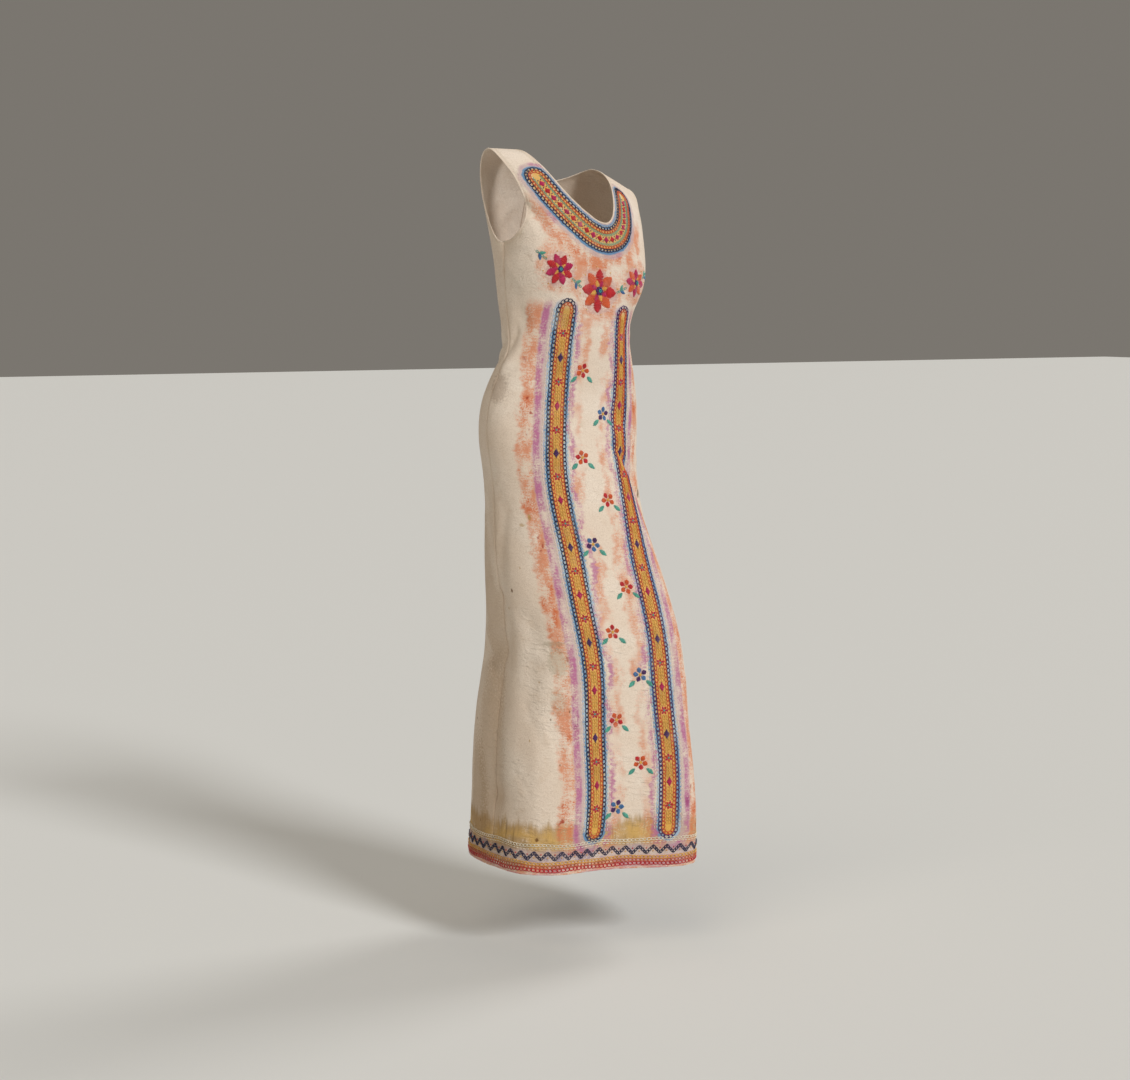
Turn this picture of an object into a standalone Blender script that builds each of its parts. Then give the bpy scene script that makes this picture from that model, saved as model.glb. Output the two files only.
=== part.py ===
"""A sleeveless ankle-length dress in heavy cotton, hollow and in the shape it has when worn.

Metres, +Z up, the front of the skirt faces -Y and the wearer's left is +X.
The origin is midway between the shoulders, on the line that carries the dress.
"""
import math

import bmesh
import bpy
import numpy as np
from mathutils import Vector
from mathutils.geometry import delaunay_2d_cdt

# Cloth
WALL = 0.0015
SEAM_GAP = 0.0003
CELL = 0.027
EDGE_CELL = 0.016
HEM_CELL = 0.0216
PLAN_RADIUS = 0.16

# Neckline, as distances from the shoulder line and from centre front or centre back
NECK_HALF_WIDTH = 0.094
FRONT_NECK_LEVEL = -0.110
BACK_NECK_LEVEL = -0.022
NECK_ROUND = 2.0
BACK_NECK_ROUND = 2.2
NECK_ASIDE_TOP = -0.014
NECK_ASIDE_BOTTOM = 0.004
NECK_ASIDE_BEND = 6.0
NECK_BENDS = 17

# Armholes
SHOULDER_TIP = 0.173
UNDERARM_LEVEL = -0.166
FRONT_ARMHOLE_ROUND = 2.2
BACK_ARMHOLE_ROUND = 2.1
# The right armhole is drawn forward and open, the left one hangs a little closed.
RIGHT_SCOOP = math.radians(27.0)
LEFT_SCOOP = math.radians(-6.0)
SCOOP_BEND = 1.5
ARMHOLE_BENDS = 15

# Centre-back zip
ZIP_END_LEVEL = -0.520
ZIP_SLOT_HALF = 0.0023
ZIP_TAPE_HALF = 0.0130
ZIP_TAPE_WALL = 0.0010
ZIP_TEETH_HALF = 0.0020
ZIP_TEETH_TOP = -0.0003
ZIP_MARGIN_HALF = 0.0140
ZIP_BELOW_NECK = 0.010
ZIP_CELL = 0.020

# Zip slider and its pull tab
SLIDER_BELOW_NECK = 0.019
SLIDER_LENGTH = 0.0110
SLIDER_TOP_WIDTH = 0.0088
SLIDER_FOOT_WIDTH = 0.0066
SLIDER_LIFT = 0.0006
SLIDER_THICK = 0.0026
LUG_WIDTH = 0.0024
LUG_RADIUS = 0.0022
LUG_HOLE_RADIUS = 0.00095
LUG_RISE = 0.0012
LUG_SINK = 0.0005
LUG_BENDS = 11
LUG_HOLE_BENDS = 13
SLIDER_TAPER_START = 0.2
PULL_ROD_RADIUS = 0.0006
PULL_THICK = 0.0012
PULL_WIDTH = 0.0064
PULL_LENGTH = 0.0240
PULL_WINDOW_WIDTH = 0.0032
PULL_WINDOW_LENGTH = 0.0032
PULL_TILT = math.radians(6.0)
PULL_BENDS = 9

# Rows of points that fill a panel, as shares of a cell
FIRST_ROW = 0.7
ROW_STEP = 0.87
ROW_SHIFT = 0.5
EDGE_ROOM = 0.5
NECK_ROOM = 0.4
POINT_TOLERANCE = 1e-7

# Level cuts through the worn dress, hem first. Level is the height on the dress's middle line, aside and
# forward place the middle of the cut, right to back are its half widths, square fills its corners,
# turn is its twist in degrees, lean drops it toward the wearer's left and slope drops it toward both sides.
SECTION_COLUMNS = (
    "level", "aside", "forward", "right", "left", "front", "back", "square", "turn", "lean", "slope",
)
SECTIONS = (
    (-1.305, 0.006, -0.085, 0.207, 0.185, 0.168, 0.195, 0.050, 0.0, 0.00, 0.000),
    (-1.180, 0.011, -0.083, 0.206, 0.180, 0.173, 0.192, 0.045, 0.0, 0.00, 0.000),
    (-1.040, 0.012, -0.070, 0.195, 0.180, 0.172, 0.191, 0.035, 0.0, 0.00, 0.000),
    (-0.890, 0.010, -0.052, 0.166, 0.188, 0.170, 0.178, 0.025, 0.0, 0.00, 0.000),
    (-0.740, 0.006, -0.030, 0.163, 0.170, 0.142, 0.153, 0.010, 0.0, 0.00, 0.000),
    (-0.590, -0.004, -0.017, 0.154, 0.153, 0.116, 0.137, 0.000, 1.0, 0.00, 0.000),
    (-0.510, -0.005, -0.016, 0.166, 0.159, 0.100, 0.131, 0.000, 2.0, 0.00, 0.000),
    (-0.435, -0.002, -0.019, 0.166, 0.158, 0.088, 0.116, 0.000, 4.0, 0.02, 0.000),
    (-0.350, 0.000, -0.022, 0.137, 0.141, 0.090, 0.095, 0.000, 6.0, 0.05, 0.000),
    (-0.265, 0.000, -0.012, 0.134, 0.138, 0.101, 0.102, 0.000, 8.0, 0.10, 0.000),
    (-0.200, 0.000, -0.005, 0.138, 0.150, 0.104, 0.106, 0.000, 10.0, 0.14, 0.010),
    (-0.150, 0.000, 0.000, 0.146, 0.172, 0.114, 0.107, 0.000, 10.0, 0.17, 0.040),
    (-0.105, 0.000, 0.000, 0.160, 0.185, 0.115, 0.100, 0.000, 10.0, 0.18, 0.090),
    (-0.060, 0.000, 0.000, 0.177, 0.190, 0.101, 0.086, 0.000, 10.0, 0.19, 0.140),
    (-0.022, 0.000, 0.000, 0.190, 0.191, 0.080, 0.066, 0.000, 10.0, 0.19, 0.175),
    (0.004, 0.000, 0.000, 0.198, 0.198, 0.052, 0.044, 0.000, 10.0, 0.19, 0.188),
    (0.017, 0.000, 0.000, 0.200, 0.200, 0.027, 0.023, 0.000, 10.0, 0.19, 0.188),
    (0.022, 0.000, 0.000, 0.200, 0.200, 0.000, 0.000, 0.000, 10.0, 0.19, 0.188),
)

# Fullness in the cloth: the two sides of the bust, the front of the skirt low at the left, and the hollow
# beside it.
# Angle is in degrees round from centre front toward the wearer's left, out is how far the cloth stands out.
SWELL_COLUMNS = ("angle", "level", "spread", "above", "below", "out")
SWELLS = (
    (44.0, -0.205, 30.0, 0.075, 0.060, 0.030),
    (-44.0, -0.205, 30.0, 0.075, 0.060, 0.030),
    (28.0, -1.250, 17.0, 0.550, 0.300, 0.035),
    (-15.0, -1.310, 24.0, 0.380, 0.300, -0.030),
)

# Folds, each a soft line from a start to an end. Rise is how far it stands out, less than 0 is a trough.
FOLD_COLUMNS = (
    "start_angle", "start_level", "end_angle", "end_level", "half_width", "start_rise", "end_rise",
)
FOLDS = (
    # from under the right armhole toward the bust
    (-86.0, -0.176, -62.0, -0.184, 0.018, -0.0060, -0.0030),
    # from the front of the right armhole toward the neckline
    (-56.0, -0.095, -46.0, -0.118, 0.016, -0.0040, -0.0015),
    # drawn in at the waist on the right
    (-70.0, -0.303, -97.0, -0.352, 0.023, -0.0050, -0.0040),
    (-84.0, -0.378, -58.0, -0.396, 0.020, 0.0030, 0.0010),
    # across the left hip and down the front of the skirt
    (20.0, -0.470, 52.0, -0.560, 0.026, -0.0050, -0.0040),
    (34.0, -0.560, 62.0, -0.700, 0.028, -0.0050, -0.0020),
    # long soft troughs in the right of the skirt
    (-64.0, -0.860, -70.0, -1.200, 0.032, -0.0050, -0.0060),
    (-44.0, -1.020, -50.0, -1.310, 0.030, -0.0030, -0.0060),
    # notch low at the back right
    (-92.0, -0.905, -112.0, -0.930, 0.022, -0.0080, -0.0060),
    # flutes down the back
    (122.0, -0.700, 126.0, -1.310, 0.036, -0.0030, -0.0140),
    (148.0, -0.640, 150.0, -1.310, 0.038, 0.0020, 0.0130),
    (171.0, -0.760, 173.0, -1.310, 0.034, -0.0020, -0.0120),
    (-166.0, -0.620, -163.0, -1.310, 0.036, 0.0020, 0.0110),
    (-143.0, -0.700, -140.0, -1.310, 0.038, -0.0020, -0.0150),
    (-119.0, -0.820, -117.0, -1.310, 0.032, 0.0010, 0.0030),
    # drawn across the back waist
    (150.0, -0.335, -160.0, -0.345, 0.016, -0.0040, -0.0030),
    (-118.0, -0.378, -152.0, -0.392, 0.018, -0.0030, -0.0040),
)

# Colours and finish of the pieces
CANVAS_COLOUR = (0.72, 0.62, 0.47, 1.0)
TAPE_COLOUR = (0.62, 0.52, 0.38, 1.0)
METAL_COLOUR = (0.66, 0.52, 0.30, 1.0)
CANVAS_ROUGHNESS = 0.92
TAPE_ROUGHNESS = 0.85
SLIDER_ROUGHNESS = 0.38
PULL_ROUGHNESS = 0.34

SMALL_ANGLE = 0.001
SMALL_RUN = 0.0005
RIDGE_BLEND = 0.030
RIDGE_SOFT = 0.020
SEAM_REACH = 0.004
LADDER_STEPS = 1200
LEAST_REACH = 0.09
LEAST_LENGTH = 1e-6


def named(columns, rows):
    """The columns of a table by their names."""
    table = np.array(rows, float)
    return {name: table[:, place] for place, name in enumerate(columns)}


SECTION = named(SECTION_COLUMNS, SECTIONS)
SWELL = named(SWELL_COLUMNS, SWELLS)
FOLD = named(FOLD_COLUMNS, FOLDS)


def section_runs():
    """Distance walked up the front from the hem to each section."""
    up = np.diff(SECTION["level"])
    along = np.diff(SECTION["front"])
    return np.concatenate([[0.0], np.cumsum(np.hypot(up, along))])


RUNS = section_runs()
RUN_END = float(RUNS[-1])


def spline_bends(x, y):
    """Second derivatives of the natural cubic through the points."""
    count = len(x)
    step = np.diff(x)
    system = np.zeros((count, count))
    target = np.zeros((count, y.shape[1]))
    system[0, 0] = 1.0
    system[-1, -1] = 1.0
    for i in range(1, count - 1):
        system[i, i - 1] = step[i - 1]
        system[i, i] = 2.0 * (step[i - 1] + step[i])
        system[i, i + 1] = step[i]
        rise_after = (y[i + 1] - y[i]) / step[i]
        rise_before = (y[i] - y[i - 1]) / step[i - 1]
        target[i] = 6.0 * (rise_after - rise_before)
    return np.linalg.solve(system, target)


TABLE = np.array(SECTIONS, float)
BENDS = spline_bends(RUNS, TABLE)


def section_at(run):
    """The section's values at any run, by name."""
    run = np.asarray(run, float)
    k = np.clip(np.searchsorted(RUNS, run) - 1, 0, len(RUNS) - 2)
    wide = (RUNS[k + 1] - RUNS[k])[..., None]
    before = (RUNS[k + 1] - run)[..., None]
    after = (run - RUNS[k])[..., None]
    value = (BENDS[k] * before ** 3 + BENDS[k + 1] * after ** 3) / (6.0 * wide)
    value = value + (TABLE[k] / wide - BENDS[k] * wide / 6.0) * before
    value = value + (TABLE[k + 1] / wide - BENDS[k + 1] * wide / 6.0) * after
    return {name: value[..., place] for place, name in enumerate(SECTION_COLUMNS)}


LADDER = np.linspace(0.0, RUN_END, LADDER_STEPS)
LADDER_LEVELS = np.maximum.accumulate(section_at(LADDER)["level"])


def run_of(level):
    """The run at which the middle line reaches a level."""
    return np.interp(level, LADDER_LEVELS, LADDER)


def turned(degrees):
    """Degrees brought between -180 and 180."""
    return (degrees + 180.0) % 360.0 - 180.0


def body_point(angle, run):
    """The smooth form of the worn dress, with angle in radians round from centre front."""
    angle, run = np.broadcast_arrays(np.asarray(angle, float), np.asarray(run, float))
    cut = section_at(run)
    sine = np.sin(angle)
    cosine = np.cos(angle)
    half = np.where(sine > 0.0, cut["left"], cut["right"])
    deep = np.maximum(np.where(cosine > 0.0, cut["front"], cut["back"]), 0.0)
    x = half * (sine + cut["square"] * np.sin(3.0 * angle)) / (1.0 - cut["square"])
    y = -deep * (cosine - cut["square"] * np.cos(3.0 * angle)) / (1.0 - cut["square"])
    degrees = np.degrees(angle)
    out = np.zeros_like(x)
    for row in range(len(SWELLS)):
        above = cut["level"] > SWELL["level"][row]
        tall = np.where(above, SWELL["above"][row], SWELL["below"][row])
        round_part = turned(degrees - SWELL["angle"][row]) / SWELL["spread"][row]
        tall_part = (cut["level"] - SWELL["level"][row]) / tall
        out = out + SWELL["out"][row] * np.exp(-round_part ** 2 - tall_part ** 2)
    size = np.maximum(np.hypot(x, y), LEAST_LENGTH)
    x = x * (1.0 + out / size)
    y = y * (1.0 + out / size)
    aside = np.sqrt(x * x + RIDGE_SOFT * RIDGE_SOFT) - RIDGE_SOFT
    z = cut["level"] - x * cut["lean"] - cut["slope"] * aside
    turn = np.radians(cut["turn"])
    across = cut["aside"] + x * np.cos(turn) - y * np.sin(turn)
    back = cut["forward"] + x * np.sin(turn) + y * np.cos(turn)
    return np.stack([across, back, z], -1)


def unit(vectors):
    """Vectors made one long."""
    return vectors / np.maximum(np.linalg.norm(vectors, axis=-1, keepdims=True), 1e-12)


def facing(point_at, angle, run):
    """Outward direction of a surface, from its slopes round and up."""
    run = np.clip(run, SMALL_RUN, RUN_END - SMALL_RUN)
    round_way = point_at(angle + SMALL_ANGLE, run) - point_at(angle - SMALL_ANGLE, run)
    up_way = point_at(angle, run + SMALL_RUN) - point_at(angle, run - SMALL_RUN)
    return unit(np.cross(round_way, up_way))


def fold_rise(angle, run):
    """How far the folds move the cloth out at a place."""
    degrees = np.degrees(angle)
    level = section_at(run)["level"]
    rise = np.zeros_like(level)
    for row in range(len(FOLDS)):
        end_x = np.radians(turned(FOLD["end_angle"][row] - FOLD["start_angle"][row])) * PLAN_RADIUS
        here_x = np.radians(turned(degrees - FOLD["start_angle"][row])) * PLAN_RADIUS
        tall = FOLD["end_level"][row] - FOLD["start_level"][row]
        here_y = level - FOLD["start_level"][row]
        length2 = end_x ** 2 + tall ** 2
        part = np.clip((here_x * end_x + here_y * tall) / length2, 0.0, 1.0)
        away = np.hypot(here_x - part * end_x, here_y - part * tall)
        depth = FOLD["start_rise"][row] * (1.0 - part) + FOLD["end_rise"][row] * part
        rise = rise + depth * np.exp(-(away / FOLD["half_width"][row]) ** 2)
    return rise


def cloth_point(angle, run):
    """The outer face of the cloth, folds and all."""
    angle, run = np.broadcast_arrays(np.asarray(angle, float), np.asarray(run, float))
    out = facing(body_point, angle, run)
    return body_point(angle, run) + out * fold_rise(angle, run)[..., None]


def cloth_facing(angle, run):
    """Outward direction of the cloth, shared by both pieces along every seam."""
    angle, run = np.broadcast_arrays(np.asarray(angle, float), np.asarray(run, float))
    quarter = math.pi / 2.0
    seam = np.round(angle / quarter) * quarter
    at_seam = (np.abs(angle - seam) * PLAN_RADIUS < SEAM_REACH) & (np.abs(seam) > 1.0)
    angle = np.where(at_seam, seam, angle)
    own = facing(cloth_point, angle, run)
    other = facing(cloth_point, math.pi - angle, run)
    near = np.clip(1.0 - (RUN_END - run) / RIDGE_BLEND, 0.0, 1.0)
    near = (near * near * (3.0 - 2.0 * near) / 2.0)[..., None]
    return unit(own * (1.0 - near) + other * near)


def shifted(angle, run, along):
    """The angle that lies a distance along the surface from an angle, at the same run."""
    side = np.sign(along) * SMALL_ANGLE
    reach = np.linalg.norm(body_point(angle + side, run) - body_point(angle, run), axis=-1)
    return angle + along * SMALL_ANGLE / np.maximum(reach, LEAST_LENGTH)


# Outlines of the pieces, as points of angle and run

def steps(start, end, cell):
    """Even places from start up to but not onto the end, one about every cell."""
    count = max(1, int(math.ceil(abs(end - start) / cell)))
    return np.linspace(start, end, count + 1)[:-1]


def side_seam(side, inset):
    """Points up a side seam, from the hem to the underarm, set in by half the seam gap."""
    run = np.append(steps(0.0, float(run_of(UNDERARM_LEVEL)), CELL), run_of(UNDERARM_LEVEL))
    angle = shifted(np.full(len(run), side * math.pi / 2.0), run, inset)
    return np.stack([angle, run], -1)


def armhole(side, to_back):
    """Points of an armhole edge from the underarm up to the shoulder line."""
    tip = math.pi / 2.0 - math.asin(SHOULDER_TIP / SECTION["left"][-1])
    roundness = BACK_ARMHOLE_ROUND if to_back else FRONT_ARMHOLE_ROUND
    bend = np.linspace(0.0, math.pi / 2.0, ARMHOLE_BENDS)[1:]
    down = np.cos(bend) ** (2.0 / roundness)
    opened = np.sin(bend) ** (2.0 / roundness)
    scoop = 0.0
    if not to_back:
        scoop = LEFT_SCOOP if side > 0.0 else RIGHT_SCOOP
    low = float(run_of(UNDERARM_LEVEL))
    high = RUN_END - SEAM_GAP / 2.0
    run = high + (low - high) * down
    turn = (tip + scoop * down ** SCOOP_BEND) * opened
    angle = side * (math.pi / 2.0 + turn) if to_back else side * (math.pi / 2.0 - turn)
    return np.stack([angle, run], -1)


def neck_curve(to_back, bend):
    """Points of the neckline, from the wearer's left shoulder at bend 0 to the right at bend pi."""
    low_level = BACK_NECK_LEVEL if to_back else FRONT_NECK_LEVEL
    roundness = BACK_NECK_ROUND if to_back else NECK_ROUND
    high = RUN_END - SEAM_GAP / 2.0
    low = float(run_of(low_level))
    depth = np.abs(np.sin(bend)) ** (2.0 / roundness)
    width = np.sign(np.cos(bend)) * np.abs(np.cos(bend)) ** (2.0 / roundness)
    run = high + (low - high) * depth
    bottom = 0.0 if to_back else NECK_ASIDE_BOTTOM
    aside = NECK_ASIDE_TOP + (bottom - NECK_ASIDE_TOP) * depth ** NECK_ASIDE_BEND
    sine = (NECK_HALF_WIDTH * width + aside) / SECTION["left"][-1]
    angle = np.arcsin(sine)
    if to_back:
        angle = math.pi - angle
    return np.stack([angle, run], -1)


def shoulder(side, to_back):
    """Points along one shoulder seam, from the armhole to the neckline, both ends left out."""
    tip = math.asin(SHOULDER_TIP / SECTION["left"][-1])
    neck = math.asin((NECK_HALF_WIDTH + side * NECK_ASIDE_TOP) / SECTION["left"][-1])
    angle = side * steps(tip, neck, EDGE_CELL / SECTION["left"][-1])[1:]
    if to_back:
        angle = math.pi - angle
    return np.stack([angle, np.full(len(angle), RUN_END - SEAM_GAP / 2.0)], -1)


def hem(start, end):
    """Points along the hem between two angles, both ends left out."""
    angle = steps(start, end, HEM_CELL / PLAN_RADIUS)[1:]
    return np.stack([angle, np.zeros(len(angle))], -1)


def front_outline():
    """The front, cut in one piece: hem, left side, left armhole, shoulder, neck, and back down the right."""
    left = side_seam(1.0, -SEAM_GAP / 2.0)
    right = side_seam(-1.0, SEAM_GAP / 2.0)
    return np.concatenate([
        hem(right[0, 0], left[0, 0]),
        left,
        armhole(1.0, False),
        shoulder(1.0, False),
        neck_curve(False, np.linspace(0.0, math.pi, NECK_BENDS)),
        shoulder(-1.0, False)[::-1],
        armhole(-1.0, False)[::-1],
        right[::-1],
    ])


def zip_runs():
    """Runs shared by the zip and the edges beside it, from the zip's lower end to its top."""
    low = float(run_of(ZIP_END_LEVEL))
    high = float(run_of(BACK_NECK_LEVEL)) - ZIP_BELOW_NECK
    return np.append(steps(low, high, ZIP_CELL), high)


def beside_middle(side, run, away):
    """Points beside the centre back, at a distance from the middle."""
    angle = shifted(np.full(len(run), side * math.pi), run, -side * away)
    return np.stack([angle, run], -1)


def centre_back(side):
    """The centre-back edge of one half: seamed below the zip, standing back from the teeth beside it."""
    below = steps(0.0, float(run_of(ZIP_END_LEVEL)), CELL)
    beside = np.append(zip_runs(), run_of(BACK_NECK_LEVEL))
    seamed = beside_middle(side, below, np.full(len(below), SEAM_GAP / 2.0))
    slot = beside_middle(side, beside, np.full(len(beside), ZIP_SLOT_HALF))
    return np.concatenate([seamed, slot])


def zip_margin(side):
    """The line on one half of the back that runs just outside the zip's tape."""
    runs = zip_runs()
    return beside_middle(side, runs, np.full(len(runs), ZIP_MARGIN_HALF))


def back_outline(side):
    """One half of the back, for the wearer's left (1) or right (-1)."""
    seam = side_seam(side, side * SEAM_GAP / 2.0)
    middle = centre_back(side)
    bends = np.linspace(0.0, math.pi, NECK_BENDS)
    neck = neck_curve(True, bends)
    if side < 0.0:
        neck = neck[::-1] - [2.0 * math.pi, 0.0]
    edge = abs(middle[-1, 0])
    neck = neck[np.abs(neck[:, 0]) < edge - EDGE_CELL / PLAN_RADIUS * NECK_ROOM]
    hole = armhole(side, True)
    strap = shoulder(side, True)
    if side < 0.0:
        strap = strap - [2.0 * math.pi, 0.0]
    points = np.concatenate([
        hem(seam[0, 0], middle[0, 0]),
        middle,
        neck[::-1],
        strap[::-1],
        hole[::-1],
        seam[::-1],
    ])
    return points if side > 0.0 else points[::-1]


# Filling an outline with cells

def plan(points):
    """Angle and run laid flat in metres."""
    return np.stack([points[:, 0] * PLAN_RADIUS, points[:, 1]], -1)


def inside(polygon, points):
    """Which points lie inside a flat outline."""
    x = points[:, 0][:, None]
    y = points[:, 1][:, None]
    ax = polygon[:, 0]
    ay = polygon[:, 1]
    bx = np.roll(ax, -1)
    by = np.roll(ay, -1)
    crosses = (ay > y) != (by > y)
    slant = np.where(np.abs(by - ay) < LEAST_LENGTH ** 2, LEAST_LENGTH ** 2, by - ay)
    hit = x < (bx - ax) * (y - ay) / slant + ax
    return (crosses & hit).sum(1) % 2 == 1


def clear_of(starts, ends, points, room):
    """Which points are more than a distance from every line."""
    way = ends - starts
    length2 = np.maximum((way ** 2).sum(1), LEAST_LENGTH ** 2)
    gap = points[:, None, :] - starts[None, :, :]
    part = np.clip((gap * way[None]).sum(2) / length2, 0.0, 1.0)
    away = np.linalg.norm(gap - part[..., None] * way[None], axis=2)
    return away.min(1) > room


def filling(outline):
    """Points spread evenly inside an outline, in staggered rows."""
    low = outline.min(0)
    high = outline.max(0)
    found = []
    rows = np.arange(low[1] + CELL * FIRST_ROW, high[1], CELL * ROW_STEP)
    for number, run in enumerate(rows):
        cut = section_at(run)
        reach = (cut["left"] + cut["right"] + cut["front"] + cut["back"]) / 4.0
        turn = CELL / float(max(reach, LEAST_REACH))
        start = low[0] + turn * (ROW_SHIFT if number % 2 else 1.0)
        angles = np.arange(start, high[0], turn)
        found.append(np.stack([angles, np.full(len(angles), run)], -1))
    return np.concatenate(found)


def cells(outline, line=None):
    """Triangles that fill an outline, its own edge first in the list of points."""
    border = plan(outline)
    points = filling(outline)
    flat = plan(points)
    keep = inside(border, flat) & clear_of(border, np.roll(border, -1, 0), flat, CELL * EDGE_ROOM)
    edges = [(i, (i + 1) % len(outline)) for i in range(len(outline))]
    extra = np.zeros((0, 2))
    if line is not None:
        flat_line = plan(line)
        keep = keep & clear_of(flat_line[:-1], flat_line[1:], flat, CELL * EDGE_ROOM)
        extra = line
        first = len(outline)
        edges += [(first + i, first + i + 1) for i in range(len(line) - 1)]
    points = np.concatenate([outline, extra, points[keep]])
    corners = [Vector(pair) for pair in plan(points).tolist()]
    made = delaunay_2d_cdt(corners, edges, [], 0, POINT_TOLERANCE, False)
    triangles = np.array(made[2])
    middle = plan(points)[triangles].mean(1)
    return points, triangles[inside(border, middle)]


def rim_of(triangles):
    """Edges that belong to one triangle only, in their triangle's direction."""
    ways = np.concatenate([triangles[:, [0, 1]], triangles[:, [1, 2]], triangles[:, [2, 0]]])
    known = {(int(a), int(b)) for a, b in ways}
    return np.array([(a, b) for a, b in known if (b, a) not in known])


def body_of(name, vertices, faces, material):
    """A closed body as an object of its own."""
    mesh = bpy.data.meshes.new(name)
    mesh.from_pydata([tuple(map(float, v)) for v in vertices], [], [tuple(map(int, f)) for f in faces])
    mesh.update()
    solid = bmesh.new()
    solid.from_mesh(mesh)
    bmesh.ops.recalc_face_normals(solid, faces=solid.faces)
    if solid.calc_volume(signed=True) < 0.0:
        bmesh.ops.reverse_faces(solid, faces=solid.faces)
    solid.to_mesh(mesh)
    solid.free()
    thing = bpy.data.objects.new(name, mesh)
    bpy.context.scene.collection.objects.link(thing)
    mesh.materials.append(material)
    return thing


def panel(name, outline, material, line=None):
    """A cut piece laid on the form and given its thickness."""
    points, triangles = cells(outline, line)
    outer = cloth_point(points[:, 0], points[:, 1])
    out = cloth_facing(points[:, 0], points[:, 1])
    inner = outer - out * WALL
    count = len(points)
    rim = rim_of(triangles)
    walls_a = np.stack([rim[:, 1], rim[:, 0], rim[:, 0] + count], -1)
    walls_b = np.stack([rim[:, 1], rim[:, 0] + count, rim[:, 1] + count], -1)
    faces = np.concatenate([triangles, triangles[:, ::-1] + count, walls_a, walls_b])
    piece = body_of(name, np.concatenate([outer, inner]), faces, material)
    for face in piece.data.polygons:
        face.use_smooth = True
    return piece


def finish(name, colour, roughness, metallic):
    """A plain surface finish."""
    material = bpy.data.materials.new(name)
    material.use_nodes = True
    shader = material.node_tree.nodes["Principled BSDF"]
    shader.inputs["Base Color"].default_value = colour
    shader.inputs["Roughness"].default_value = roughness
    shader.inputs["Metallic"].default_value = metallic
    return material


# The zip

def zip_chain(name, material):
    """Tape and closed teeth in one strip, lying behind the two back edges."""
    runs = zip_runs()
    top = -WALL - SEAM_GAP
    foot = top - ZIP_TAPE_WALL
    profile = (
        (-ZIP_TAPE_HALF, foot), (ZIP_TAPE_HALF, foot), (ZIP_TAPE_HALF, top), (ZIP_TEETH_HALF, top),
        (ZIP_TEETH_HALF, ZIP_TEETH_TOP), (-ZIP_TEETH_HALF, ZIP_TEETH_TOP), (-ZIP_TEETH_HALF, top),
        (-ZIP_TAPE_HALF, top),
    )
    rings = []
    for away, lift in profile:
        angle = np.full(len(runs), math.pi)
        if away:
            angle = shifted(angle, runs, away)
        rings.append(cloth_point(angle, runs) + cloth_facing(angle, runs) * lift)
    vertices = np.stack(rings, 1).reshape(-1, 3)
    wide = len(profile)
    faces = []
    for row in range(len(runs) - 1):
        for place in range(wide):
            after = (place + 1) % wide
            faces.append((row * wide + place, row * wide + after, (row + 1) * wide + after,
                          (row + 1) * wide + place))
    caps = ((0, 1, 2, 3, 6, 7), (3, 4, 5, 6))
    last = (len(runs) - 1) * wide
    for cap in caps:
        faces.append(cap[::-1])
        faces.append(tuple(last + corner for corner in cap))
    return body_of(name, vertices, faces, material)


def zip_frame():
    """Where the slider sits: its place on the cloth, and the ways across, down and out."""
    run = float(run_of(BACK_NECK_LEVEL)) - SLIDER_BELOW_NECK
    place = cloth_point(math.pi, run)
    down = unit(cloth_point(math.pi, run - SLIDER_LENGTH) - cloth_point(math.pi, run))
    out = cloth_facing(np.array(math.pi), np.array(run))
    across = unit(np.cross(down, out))
    return place, across, down, unit(np.cross(across, down))


def slab(points, low, high):
    """A flat outline given a height: points, then faces."""
    count = len(points)
    vertices = [(x, y, low) for x, y in points] + [(x, y, high) for x, y in points]
    faces = [tuple(range(count))[::-1], tuple(range(count, 2 * count))]
    faces += [(i, (i + 1) % count, (i + 1) % count + count, i + count) for i in range(count)]
    return vertices, faces


def placed(vertices, frame):
    """Local points (across, down, out) put on the zip's place."""
    place, across, down, out = frame
    local = np.array(vertices, float)
    return place + local[:, :1] * across + local[:, 1:2] * down + local[:, 2:] * out


def joined(keeper, other, way):
    """One body made from two, by union or difference."""
    tool = keeper.modifiers.new("join", "BOOLEAN")
    tool.operation = way
    tool.solver = "EXACT"
    tool.object = other
    other.hide_render = True
    other.display_type = "WIRE"
    return keeper


def arc(middle_x, middle_y, radius, start, end, count):
    """Points round part of a circle."""
    turn = np.linspace(start, end, count)
    return [(middle_x + radius * math.cos(t), middle_y + radius * math.sin(t)) for t in turn]


def slider_shape():
    """The slider's plate, wider at its top, and its lug with the eye, in local coordinates."""
    half = SLIDER_LENGTH / 2.0
    plate = [
        (-SLIDER_TOP_WIDTH / 2.0, -half), (SLIDER_TOP_WIDTH / 2.0, -half),
        (SLIDER_TOP_WIDTH / 2.0, -half * SLIDER_TAPER_START), (SLIDER_FOOT_WIDTH / 2.0, half),
        (-SLIDER_FOOT_WIDTH / 2.0, half), (-SLIDER_TOP_WIDTH / 2.0, -half * SLIDER_TAPER_START),
    ]
    top = SLIDER_LIFT + SLIDER_THICK
    eye = top + LUG_RISE
    lug = [(LUG_RADIUS, top - LUG_SINK)]
    lug += arc(0.0, eye, LUG_RADIUS, 0.0, math.pi, LUG_BENDS)
    lug += [(-LUG_RADIUS, top - LUG_SINK)]
    hole = arc(0.0, eye, LUG_HOLE_RADIUS, 0.0, 2.0 * math.pi, LUG_HOLE_BENDS)[:-1]
    return plate, lug, hole


def upright(points, half):
    """A flat outline of (down, out) given a width across."""
    vertices, faces = slab(points, -half, half)
    return [(z, x, y) for x, y, z in vertices], faces


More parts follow.
